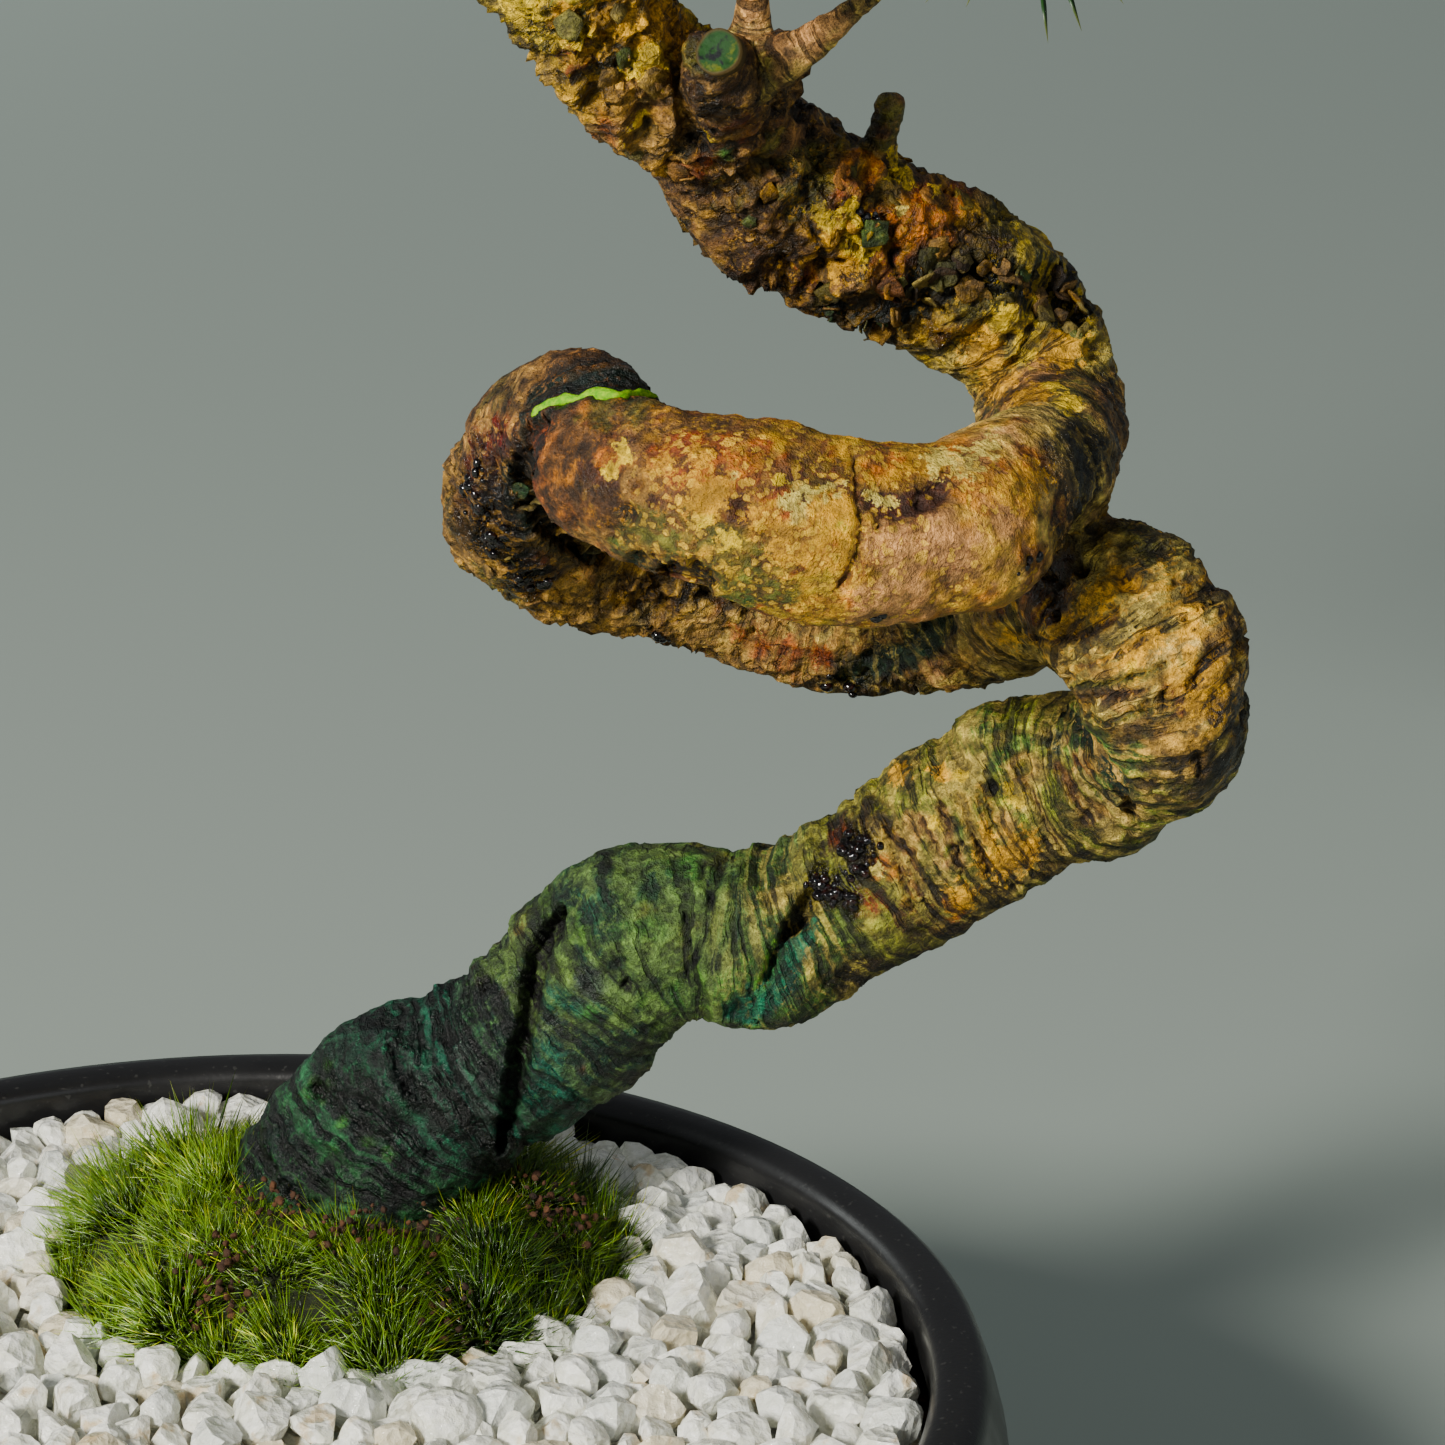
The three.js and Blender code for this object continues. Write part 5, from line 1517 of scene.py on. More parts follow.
jolt = bark.noise(here, 1.6, 3, 0.6, "Color")
jolted = bark.node("VectorMath", push, i0=jolt, i1=(2.2, 2.2, 2.2), i2=here)
chip = bark.cells(jolted, CHIP_SIZE, "Color")
chip_tone = bark.ramp(chip, 0.0, 1.0, 0.6, 1.4)
mottle = bark.noise(here, 2.4, 5, 0.75)
grains = bark.noise(here, 0.5, 3, 0.75)
borders = bark.cells(jolted, CRACK_SIZE, feature="DISTANCE_TO_EDGE")
crack_gate = times(bark.ramp(bark.noise(here, 5, 3), 0.46, 0.56), bark.ramp(broken, 0.15, 0.6))
fine_cracks = times(bark.ramp(borders, 0.07, 0.0), crack_gate)
shade = times(bark.ramp(mottle, 0.4, 0.6, 0.45, 1.4), bark.ramp(grains, 0.3, 0.7, 0.7, 1.3))
# The fine ring grooves are painted darker, as painted shade.
shade = times(times(shade, chip_tone), bark.ramp(rings, 0.0, 0.8, 1.0, 0.28))
# The fine cracks are painted darker, as painted shade.
shade = times(shade, bark.ramp(fine_cracks, 0.0, 1.0, 1.0, 0.5))
shade = bark.between(times(spotted, 0.35), shade, 1.0)
grey = bark.node("CombineColor", i0=shade, i1=shade, i2=shade)

speck_gate = bark.ramp(bark.noise(here, 3.6, 3), 0.42, 0.6)
speck = times(bark.ramp(bark.noise(here, 0.8, 4, 0.7), 0.52, 0.62), speck_gate)
fleck_tone = bark.attribute("fleck_tone")
specked = bark.mix(times(speck, 0.75), bark.mix(times(ridges, 0.55), painted, fleck_tone), fleck_tone)
edge_noise = times(bark.math("SUBTRACT", bark.noise(here, MARK_EDGE_SIZE, 5, 0.7), 0.5), 4)
for layer in SHARP_MARKS:
    inside = bark.ramp(bark.math("ADD", bark.attribute(layer, "Fac"), edge_noise), 0.95, 1.1)
    specked = bark.mix(times(inside, 0.8), specked, bark.attribute(layer + "_tone"))
spots = bark.cells(jolted, SPOT_SIZE)
spot_gate = times(bark.ramp(bark.noise(here, 6, 3), 0.39, 0.51), spotted)
yellow_spots = times(bark.ramp(spots, 0.4, 0.3), spot_gate)
specked = bark.mix(times(yellow_spots, 0.7), specked, colour(228, 178, 36))
off_ring = bark.math("ABSOLUTE", bark.math("SUBTRACT", spots, 0.44))
brown_rings = times(bark.ramp(off_ring, 0.12, 0.03), spot_gate)
specked = bark.mix(times(brown_rings, 0.5), specked, colour(104, 46, 14))

height = bark.math("SUBTRACT", times(mottle, 1.6), times(rings, 0.55))
height = bark.math("ADD", height, times(chip, 0.4))
height = bark.math("SUBTRACT", height, times(fine_cracks, 0.6))
bark.set(
    Base_Color=bark.mix(1.0, specked, grey, "MULTIPLY"),
    Roughness=bark.between(wet, bark.ramp(mottle, 0.3, 0.7, 0.68, 0.45), 0.12),
    Normal=bark.bump(grains, 0.25, 1.0, bark.bump(height, 0.8)),
)
finish_piece(wood, "bark", bark.material, "trunk")

# %% [markdown]
# ## Loose bark
# Old bark peels. Along the seam above the coil, thin plates stand off the trunk and give it
# a ragged edge. A plate is a small bent grid with a thickness, made in a few kinds. Its
# copies are set on the bark by pixel. Each one leans out from the surface and takes the tone
# of the bark under it.

# %% Bark plates
FLAKE_KINDS = 5
flake_numbers = np.random.default_rng(33)


def flake_shape():
    """A ragged plate about 2 units across."""
    bpy.ops.mesh.primitive_grid_add(x_subdivisions=3, y_subdivisions=2, size=2)
    flake = named("flake")
    points = points_of(flake, UNIT)
    points[:, :2] += flake_numbers.uniform(-0.3, 0.3, (len(points), 2))
    points[:, :2] *= 1 - 0.35 * np.abs(points[:, 1::-1])
    points[:, 2] = 0.4 * points[:, 0] ** 2 - 0.2 * points[:, 1] + flake_numbers.uniform(0, 0.15, len(points))
    move_points(flake, points, UNIT)
    modify(flake, "SOLIDIFY", thickness=0.3, offset=0)
    return shape_of(flake)


flake_shapes = [flake_shape() for _ in range(FLAKE_KINDS)]
print("triangles of a flake:", len(flake_shapes[0][1]))

# %% Flakes on the trunk
# Each line: the pixels it follows, how many flakes, how far they stray in pixels, their half
# length in millimetres and how far they stand out, 0 to 1.
FLAKE_LINES = {
    "upper lip of the seam": (
        [
            (822, 296), (850, 300), (880, 298), (903, 292), (925, 280), (950, 268), (985, 268), (1020, 278),
            (1050, 288), (1078, 305),
        ],
        30, 5, 1.5, 0.5,
    ),
    "lower lip of the seam": (
        [(905, 308), (930, 294), (950, 284), (985, 288), (1020, 298), (1050, 312)], 12, 4, 1.5, 0.8,
    ),
    "fringe": ([(824, 308), (845, 320), (868, 330), (890, 330), (900, 322)], 22, 5, 1.2, 1),
    "right corner": ([(1062, 285), (1075, 305), (1078, 330)], 8, 5, 1.6, 1),
    "brow": ([(630, 148), (655, 158), (690, 172), (712, 182)], 8, 5, 1.4, 0.8),
    "lifted bark of the coil": (
        [(530, 492), (546, 516), (560, 532), (580, 546), (600, 552)], 14, 3, 1.5, 0.9,
    ),
    "left bow": ([(495, 520), (505, 560), (520, 590), (545, 600)], 6, 8, 1, 0.7),
    "dark stretch": ([(740, 200), (800, 210), (870, 200), (950, 200), (1020, 240)], 14, 30, 1.6, 0.2),
    "top": ([(520, 10), (580, 60), (640, 60), (680, 110)], 8, 26, 1.6, 0.2),
}

FLAKE_RIMS = ["bark", "olive", "gold", "leaf", "tan", "straw"]
spots, outwards, sizes, tones = [], [], [], []
for line, count, stray, half_length, stand in FLAKE_LINES.values():
    line = np.array(line, dtype=float)
    for _ in range(count):
        t = flake_numbers.uniform(0, len(line) - 1.001)
        u, v = line[int(t)] + (t % 1) * (line[int(t) + 1] - line[int(t)])
        u, v = np.array([u, v]) + flake_numbers.normal(0, stray, 2)
        nearest = np.argmin(distance_to(skin, on_bark(u, v)))
        outward = facing[nearest] + stand * 0.75 * flake_numbers.normal(0, 1, 3)
        spots.append(skin[nearest] + facing[nearest] * 0.1)
        outwards.append(outward)
        sizes.append(half_length * flake_numbers.uniform(0.5, 1.25) * np.array([1, 1, 0.6]))
        rim_tone = TONES[FLAKE_RIMS[flake_numbers.integers(len(FLAKE_RIMS))]]
        tones.append(0.55 * colours[nearest] + 0.45 * rim_tone * flake_numbers.uniform(0.3, 1.1))
spins = flake_numbers.uniform(0, FULL_TURN, len(spots))
turns = turns_towards(outwards, spins, sizes)
kinds = flake_numbers.integers(0, FLAKE_KINDS, len(spots))
flakes, owners, _ = copies("bark_flakes", flake_shapes, kinds, turns, np.array(spots))
flake_colours = np.array(tones)[owners]
store(flakes, "bark_tone", "FLOAT_COLOR", with_alpha(flake_colours))
store(flakes, "fleck_tone", "FLOAT_COLOR", with_alpha(flake_colours * 1.3))
store(flakes, "straight", "FLOAT_VECTOR", points_of(flakes))
store(flakes, "gloss", "FLOAT", np.zeros(len(owners)))
for name in ("wrinkled", "plated", "spotted"):
    store(flakes, name, "FLOAT", np.full(len(owners), 0.1))
finish_piece(flakes, "bark", bark.material, "trunk")

# %% [markdown]
# ## Live wood
# At the top of the coil a strip of bark has lifted, and a lime-green line of live wood shows.
# It is a slim tube laid along the gap, so that its edges stay sharp.

# %% Live wood
LIVE_WOOD = [(535, 417), (545, 410), (560, 401), (580, 399), (598, 395), (620, 396), (645, 393), (660, 396)]
LIVE_WOOD_THICKNESS = [0.75, 0.9, 0.75, 0.6, 1.05, 0.6, 0.45, 0.3]
STRIP_STANDS_OUT = 0.5

strip_route = []
for (u, v), radius in zip(LIVE_WOOD, LIVE_WOOD_THICKNESS):
    place = on_bark(u, v)
    strip_route.append((*(place + unit(CAMERA_PLACE - place) * STRIP_STANDS_OUT), radius))
limb_tube("live_wood", strip_route, 3, 0.8)
live_wood = named("live_wood")
strip_points = points_of(live_wood)
strip_points += 0.3 * np.column_stack([grain(strip_points, 1.4, seed) for seed in (50, 51, 52)])
move_points(live_wood, strip_points)
tidy_normals(live_wood)
live_wood.data.shade_smooth()
lime = Finish("live_wood", Roughness=0.8, Specular_IOR_Level=0.1)
fibres = lime.noise(lime.place(), 0.6, 4, 0.7)
lime.set(
    Base_Color=lime.mix(lime.ramp(fibres, 0.3, 0.7), colour(84, 164, 0), colour(158, 206, 0)),
    Normal=lime.bump(fibres, 0.2),
)
finish_piece(live_wood, "bark", lime.material, "trunk")

# %% [markdown]
# The cut branch ends in a flat face. Algae and ink-dark mould stain it, and its rim is yellow.

# %% The cut face
CUT_FACE = (722, 54)
CUT_RADIUS = 2.6

cut_middle = on_bark(*CUT_FACE)
bpy.ops.mesh.primitive_cylinder_add(vertices=48, radius=CUT_RADIUS * MM, depth=1.6 * MM)
cut_face = named("cut_face")
select_faces(cut_face, lambda face: face.normal.z > 0.9)
for _ in range(6):
    bpy.ops.mesh.inset(thickness=CUT_RADIUS / 8 * MM)
bpy.ops.object.mode_set(mode="OBJECT")
cut_points = points_of(cut_face)
across = np.hypot(cut_points[:, 0], cut_points[:, 1]) / CUT_RADIUS
cut_points[:, :2] *= 1 + 0.08 * grain(cut_points, 2.5, 60)[:, None]
on_top = cut_points[:, 2] > 0
cut_points[on_top, 2] -= (0.5 * (1 - across[on_top] ** 2) + 0.3 * np.abs(grain(cut_points[on_top], 1.2, 61)))
cut_way = unit(CAMERA_PLACE - cut_middle + np.array([-160.0, 0.0, 160.0]))
cut_turn = turns_towards(cut_way[None], np.zeros(1), np.ones(1))[0]
move_points(cut_face, cut_points @ cut_turn.T + cut_middle + cut_way * 0.5)
cut_face.data.shade_smooth()
store(cut_face, "from_middle", "FLOAT", across)
cut_wood = Finish("stained_cut", Roughness=0.7, Specular_IOR_Level=0.3)
from_middle = cut_wood.attribute("from_middle", "Fac")
stain = cut_wood.noise(cut_wood.place(), 3.4, 4, 0.6)
mould = cut_wood.mix(cut_wood.ramp(stain, 0.46, 0.54), colour(24, 66, 18), colour(4, 10, 16))
mould = cut_wood.mix(cut_wood.ramp(stain, 0.42, 0.34), mould, colour(88, 98, 14))
cut_wood.set(
    Base_Color=cut_wood.mix(cut_wood.ramp(from_middle, 0.8, 1.0), mould, colour(70, 54, 18)),
    Normal=cut_wood.bump(stain, 0.4),
)
finish_piece(cut_face, "bark", cut_wood.material, "trunk")

# %% [markdown]
# ## Resin
# Resin has dried in beads on the black places. A bead is a small ball, pressed a little flat,
# and its copies lie in heaps round a few pixels.

# %% Resin beads
# Heaps of beads: a pixel (u, v), the spread in millimetres and how many.
BEAD_HEAPS = [
    (818, 884, 1.3, 14), (830, 893, 1.2, 10), (853, 860, 2.2, 16), (857, 838, 1.6, 8), (846, 900, 1.2, 8),
    (480, 470, 1.2, 6), (478, 505, 2.2, 16), (498, 535, 2.4, 20), (525, 578, 1.8, 12), (540, 585, 1.2, 6),
    (850, 690, 1.6, 6), (880, 610, 1.2, 3), (870, 215, 1.5, 4), (660, 640, 2.0, 5), (1020, 560, 1.2, 4),
]

bpy.ops.mesh.primitive_ico_sphere_add(subdivisions=2, radius=1)
bead_shape = shape_of(named("bead"))
bead_numbers = np.random.default_rng(12)
spots, ways = [], []
for u, v, spread, count in BEAD_HEAPS:
    middle = on_bark(u, v)
    for _ in range(count):
        nearest = np.argmin(distance_to(skin, middle + bead_numbers.normal(0, spread * 0.6, 3)))
        spots.append(skin[nearest])
        ways.append(facing[nearest])
sizes = bead_numbers.uniform(0.3, 0.95, (len(spots), 1)) * [1.0, 0.85, 0.75]
turns = turns_towards(ways, bead_numbers.uniform(0, FULL_TURN, len(spots)), sizes)
beads, _, _ = copies("resin_beads", [bead_shape], np.zeros(len(spots), int), turns, np.array(spots))
beads.data.shade_smooth()
resin = Finish("dried_resin", Roughness=0.07, IOR=1.54)
bead_grain = resin.noise(resin.place(), 1.2, 2)
resin.set(
    Base_Color=resin.mix(resin.ramp(bead_grain, 0.5, 0.7), colour(8, 6, 8), colour(38, 14, 9)),
    Normal=resin.bump(bead_grain, 0.3),
)
finish_piece(beads, "bark", resin.material, "trunk")

# %% [markdown]
# ## The moss
# The mound is a dark cushion of old stems with fresh blades on top. The cushion is a sphere,
# flattened, cut off at the soil and made lumpy by a displace modifier.

# %% The moss cushion
MOSS_LEVEL = 64.5
MOSS_RISE = 19.0
MOSS_SPREAD = 1.03

bpy.ops.mesh.primitive_uv_sphere_add(segments=96, ring_count=48, radius=1)
cushion = bpy.context.object
cushion.scale = (*(MOSS_RADII * MOSS_SPREAD * MM), MOSS_RISE * MM)
cushion.location = (*(MOSS_MIDDLE * MM), MOSS_LEVEL * MM)
cushion = named("moss_cushion")
edit(cushion)
bpy.ops.mesh.bisect(
    plane_co=(0, 0, BED_BOTTOM * MM), plane_no=(0, 0, -1), use_fill=True, clear_outer=True
)
bpy.ops.object.mode_set(mode="OBJECT")
lumps = bpy.data.textures.new("moss_lumps", "CLOUDS")
lumps.noise_scale = 5 * MM
modify(cushion, "DISPLACE", texture=lumps, strength=3 * MM, mid_level=0.7, texture_coords="LOCAL")
cushion.data.shade_smooth()
print("points in the cushion:", len(cushion.data.vertices))

# %% [markdown]
# A blade is a three-sided spindle, thickest low down. A spray of eight blades is the shape
# that is copied, in several kinds. The sprays of one tuft start close together and fan out,
# so that the tuft is a small star. Dark gaps are left between the tufts, and shorter blades
# stand there.

# %% Sprays of moss
BLADES_IN_SPRAY = 8
SPRAY_KINDS = 10
BLADE_THICKNESS = 0.0135


def spindle(name, widest):
    """A three-sided spike of height 1, widest at a share of its height."""
    bpy.ops.mesh.primitive_cone_add(
        vertices=3, radius1=1, depth=1 - widest, end_fill_type="TRIFAN", location=(0, 0, (1 + widest) / 2)
    )
    piece = named(name)
    points = points_of(piece, UNIT)
    middle = np.hypot(points[:, 0], points[:, 1]) < 0.01
    points[middle & (points[:, 2] < 0.9), 2] = 0
    move_points(piece, points, UNIT)
    tidy_normals(piece)
    return shape_of(piece)


def bundle(shape, ways, spins, sizes, feet, bend=0):
    """Many copies of one shape as a new shape. A bend is added to each point's height."""
    points, triangles = shape
    placed = np.einsum("nij,vj->nvi", turns_towards(ways, spins, sizes), points)
    placed[..., 2] += bend
    numbers = triangles[None] + (np.arange(len(ways)) * len(points))[:, None, None]
    return (placed + feet[:, None]).reshape(-1, 3), numbers.reshape(-1, 3)


def leaning(angle, lean):
    """Directions that lean from upright, each towards its angle."""
    return np.column_stack([np.cos(angle) * np.sin(lean), np.sin(angle) * np.sin(lean), np.cos(lean)])


blade_shape = spindle("blade", 0.4)
moss_numbers = np.random.default_rng(8)


def spray():
    """Blades that spread from one root, as one shape."""
    lean = moss_numbers.uniform(0.05, 0.62, BLADES_IN_SPRAY)
    angle = moss_numbers.uniform(0, 2 * np.pi, BLADES_IN_SPRAY)
    lengths = moss_numbers.uniform(0.5, 1.0, BLADES_IN_SPRAY)
    thickness = BLADE_THICKNESS * moss_numbers.uniform(0.6, 1.4, BLADES_IN_SPRAY)
    sizes = np.column_stack([thickness, thickness * 0.5, lengths])
    roots = np.column_stack([moss_numbers.normal(0, 0.07, (BLADES_IN_SPRAY, 2)), np.zeros(BLADES_IN_SPRAY)])
    return bundle(blade_shape, leaning(angle, lean), angle, sizes, roots)


spray_shapes = [spray() for _ in range(SPRAY_KINDS)]
print("triangles of a spray:", len(spray_shapes[0][1]))

# %% The moss grows
TRUNK_FOOT = np.array([17.0, 39.5])
TRUNK_FOOT_RADIUS = 13.8
BLADE_LENGTH = 10.0
STAR_SPACING = 8.2
STAR_RADIUS = 3.3
SPRAYS_IN_STAR = 116
SHORT_SPRAYS = 1600
PAINTED_GLINT_SHARE = 0.035
SHORT_LENGTH, SHORT_SPREAD = 0.55, 2.2
STAR_TRIES = 3000
ROOT_DEPTH = 2.2
FAN, DROOP, STRAY = 1.25, 0.8, 0.36

# Heaps of crumbs: a pixel (u, v) in the photograph and a spread in millimetres.
CRUMB_HEAPS = {
    "left of the middle": (300, 1235, 3.0), "above the front": (410, 1240, 4.5), "middle": (350, 1250, 4.0),
    "by the foot": (275, 1215, 3.0), "in front": (395, 1330, 2.5), "right": (470, 1290, 3.5),
    "left": (215, 1275, 3.0), "right edge": (560, 1205, 4.0),
}
MOSS_TOP = 80

heaps = list(CRUMB_HEAPS.values())
rays = [line_of_sight(u, v) for u, v, _ in heaps]
heap_middles = np.array([(CAMERA_PLACE + ray * (MOSS_TOP - CAMERA_PLACE[2]) / ray[2])[:2] for ray in rays])


def random_in_moss(count, edge):
    """Places in the moss's ellipse, away from the trunk."""
    places = np.empty((0, 2))
    while len(places) < count:
        angle = moss_numbers.uniform(0, 2 * np.pi, count)
        share = edge * np.sqrt(moss_numbers.uniform(0, 1, count))
        more = MOSS_MIDDLE + np.column_stack([np.cos(angle), np.sin(angle)]) * share[:, None] * MOSS_RADII
        more = more[np.linalg.norm(more - TRUNK_FOOT, axis=1) > TRUNK_FOOT_RADIUS]
        places = np.vstack([places, more])
    return places[:count]


def moss_height(places):
    """Height of the cushion under each place."""
    share = np.clip(moss_share(*places.T) / MOSS_SPREAD, 0, 1)
    return MOSS_LEVEL + MOSS_RISE * np.sqrt(1 - 0.97 * share**2)


stars = []
for star in random_in_moss(STAR_TRIES, 1.0):
    if all(np.hypot(*(star - other)) > STAR_SPACING for other in stars):
        stars.append(star)
stars = np.array(stars)
star_length = moss_numbers.uniform(0.6, 1.25, len(stars))
star_tone = moss_numbers.uniform(0, 1, len(stars))
star_of = np.concatenate([
    np.repeat(np.arange(len(stars)), SPRAYS_IN_STAR), moss_numbers.integers(0, len(stars), SHORT_SPRAYS)
])
short = np.arange(len(star_of)) >= len(star_of) - SHORT_SPRAYS
away = np.where(short[:, None], SHORT_SPREAD, 1.0) * STAR_RADIUS
away = away * moss_numbers.normal(0, 0.6, (len(star_of), 2))
roots = stars[star_of] + away
share = moss_share(*roots.T)
free = (share < 1.04) & (np.linalg.norm(roots - TRUNK_FOOT, axis=1) > TRUNK_FOOT_RADIUS - 0.5)
roots, away, star_of, share, short = roots[free], away[free], star_of[free], share[free], short[free]

outward = unit(np.column_stack([(roots - MOSS_MIDDLE) / MOSS_RADII**2, np.full(len(roots), 1e-9)]))[:, :2]
lean = away / STAR_RADIUS * FAN + outward * (share**2 * DROOP)[:, None]
ways = np.column_stack([lean, np.ones(len(roots))]) + moss_numbers.normal(0, STRAY, (len(roots), 3))
lengths = BLADE_LENGTH * star_length[star_of] * moss_numbers.uniform(0.5, 1.2, len(roots))
lengths *= np.where(short, SHORT_LENGTH, 1)
for middle, (_, _, spread) in zip(heap_middles, heaps):
    lengths *= 1 - 0.45 * np.exp(-((np.linalg.norm(roots - middle, axis=1) / spread) ** 2))
turns = turns_towards(ways, moss_numbers.uniform(0, FULL_TURN, len(roots)), lengths)
places = np.column_stack([roots, moss_height(roots) - ROOT_DEPTH])
kinds = moss_numbers.integers(0, SPRAY_KINDS, len(roots))
# The right side of the moss is painted darker through the blades' age, as painted shade.
shade_side = smooth_step(roots[:, 0], 12, 42)
age_and_shade = 0.5 * star_tone[star_of] + 0.4 * moss_numbers.uniform(0, 1, len(roots)) + 0.34 * shade_side
# A few sprays are chosen for a painted glint.
painted_glint = (moss_numbers.uniform(0, 1, len(roots)) < PAINTED_GLINT_SHARE).astype(float)
print("tufts of moss:", len(stars), "and blades:", len(roots) * BLADES_IN_SPRAY)

# %% [markdown]
# The blades come as three pieces, behind the trunk and in front of it to the left and right,
# so that none has too many triangles.

# %% Three beds of moss
fresh = Finish("fresh_moss", Roughness=0.28, Specular_IOR_Level=0.6)
height = fresh.attribute("height", "Fac")
age = fresh.attribute("age", "Fac")
# A higher age darkens a blade. It holds the moss's own ageing and, on its right side, painted shade.
stem = fresh.mix(age, colour(30, 52, 4), colour(10, 20, 4))
middle_tone = fresh.mix(age, colour(138, 186, 6), colour(50, 88, 8))
tip = fresh.mix(age, colour(240, 238, 24), colour(126, 150, 12))
lower = fresh.mix(fresh.ramp(height, 0.22, 0.66), stem, middle_tone)
upper = fresh.mix(fresh.ramp(height, 0.58, 1.0), lower, tip)
# A few blades are painted bright yellow along their upper part: a painted glint.
glint = fresh.times(fresh.attribute("painted_glint", "Fac"), fresh.ramp(height, 0.3, 0.7))
fresh.set(Base_Color=fresh.mix(glint, upper, colour(232, 240, 44)))

angle_round = np.degrees(np.arctan2(*(roots - TRUNK_FOOT).T[::-1])) % 360
beds = {
    "moss_blades_back": (angle_round < 180),
    "moss_blades_left": (angle_round >= 180) & (angle_round < 262),
    "moss_blades_right": (angle_round >= 262),
}
for name, chosen in beds.items():
    piece, owners, sources = copies(name, spray_shapes, kinds[chosen], turns[chosen], places[chosen])
    store(piece, "height", "FLOAT", np.clip(sources[:, 2], 0, 1))
    store(piece, "age", "FLOAT", np.clip(age_and_shade[chosen][owners], 0, 1))
    store(piece, "painted_glint", "FLOAT", painted_glint[chosen][owners])
    finish_piece(piece, "moss", fresh.material, "moss_mound")

old_moss = Finish("old_moss", Roughness=0.9)
here = old_moss.place()
thatch = old_moss.noise(here, 1.2, 4, 0.7)
old_moss.set(
    Base_Color=old_moss.mix(thatch, colour(10, 14, 4), colour(40, 48, 12)),
    Normal=old_moss.bump(thatch, 0.8),
)
finish_piece(cushion, "moss", old_moss.material, "moss_mound")

# %% [markdown]
# Crumbs of bark and clay lie between the tufts. They are broken lumps like the stones, only
# much smaller and longer, so the shapes of the stones serve again.

# %% Crumbs in the moss
CRUMB_COUNT = 620
heap_of = moss_numbers.integers(0, len(heaps), CRUMB_COUNT)
spread = np.array([heap[2] for heap in heaps])[heap_of]
at = heap_middles[heap_of] + moss_numbers.normal(0, 0.85, (CRUMB_COUNT, 2)) * spread[:, None]
at = at[(moss_share(*at.T) < 1) & (np.linalg.norm(at - TRUNK_FOOT, axis=1) > TRUNK_FOOT_RADIUS + 4)]
sizes = moss_numbers.uniform(0.3, 1.0, (len(at), 1)) ** 1.4 * [0.55, 0.7, 1.0]
spots = np.column_stack([at, moss_height(at) + moss_numbers.uniform(0.5, 5.2, len(at))])
ways = moss_numbers.normal(0, 1, (len(at), 3))
turns = turns_towards(ways, moss_numbers.uniform(0, FULL_TURN, len(at)), sizes)
crumbs, owners, _ = copies("moss_crumbs", stone_shapes, np.arange(len(at)) % STONE_KINDS, turns, spots)
store(crumbs, "age", "FLOAT", moss_numbers.uniform(0, 1, len(at))[owners])
clay = Finish("clay_crumbs", Roughness=0.85)
age = clay.attribute("age", "Fac")
crumb_tone = clay.mix(age, colour(28, 16, 7), colour(94, 56, 24))
clay_grain = clay.noise(clay.place(), 0.5, 3, 0.7)
clay.set(
    Base_Color=clay.mix(clay.ramp(clay_grain, 0.4, 0.6, 0, 0.5), crumb_tone, colour(58, 34, 20)),
    Normal=clay.bump(clay_grain, 0.25),
)
finish_piece(crumbs, "moss", clay.material, "moss_mound")

# %% [markdown]
# ## The needles
# Black pine carries its needles in pairs, stiff and dark green, packed round the last part of
# each shoot, with a pale bud at the tip. The measured model has a small solid for each pad of
# foliage. Each pad here keeps the same shoots and gives them full needles.
#
# A needle is a three-sided spindle. A tuft of them is modelled in a few kinds, and the pads
# place the tufts by the rule of the measured model: a spiral over a dome.

# %% Tufts of needles
NEEDLE_LENGTH = 21
NEEDLE_THICKNESS = 0.42
NEEDLE_BEND = 1.6
PAIRS_IN_TUFT = 88
SHOOT_LENGTH = 12
NEEDLE_KINDS = 5
GOLDEN_ANGLE = math.pi * (3 - math.sqrt(5))

bpy.ops.mesh.primitive_cylinder_add(
    vertices=3, radius=1, depth=0.55, end_fill_type="TRIFAN", location=(0, 0, 0.5)
)
needle = named("needle")
needle_points = points_of(needle, UNIT)
core = np.hypot(needle_points[:, 0], needle_points[:, 1]) < 0.01
needle_points[core, 2] = np.round(needle_points[core, 2])
move_points(needle, needle_points, UNIT)
needle_shape = shape_of(needle)
needle_height = needle_shape[0][:, 2]
needle_numbers = np.random.default_rng(17)


def needle_tuft():
    """Pairs of needles round a shoot along +Z. They lean out low down and close in at its tip."""
    pairs = np.arange(PAIRS_IN_TUFT)
    rise = (pairs + 0.5) / PAIRS_IN_TUFT
    angle = pairs * GOLDEN_ANGLE + needle_numbers.normal(0, 0.12, PAIRS_IN_TUFT)
    lean = 1.05 - 0.8 * rise + needle_numbers.normal(0, 0.07, PAIRS_IN_TUFT)
    spread = np.array([-0.055, 0.055])
    angle = (angle[:, None] + spread * 1.6).ravel()
    lean = (lean[:, None] + spread[::-1] * 0.6).ravel()
    height = np.repeat(rise * SHOOT_LENGTH, 2)
    length = NEEDLE_LENGTH * needle_numbers.uniform(0.86, 1.06, len(angle))
    width = np.full(len(angle), NEEDLE_THICKNESS)
    sizes = np.column_stack([width, width * 0.6, length])
    feet = np.column_stack([np.cos(angle) * 0.7, np.sin(angle) * 0.7, height])
    bend = NEEDLE_BEND * (needle_height**2)[None] * np.sin(lean)[:, None]
    return bundle(needle_shape, leaning(angle, lean), angle, sizes, feet, bend)


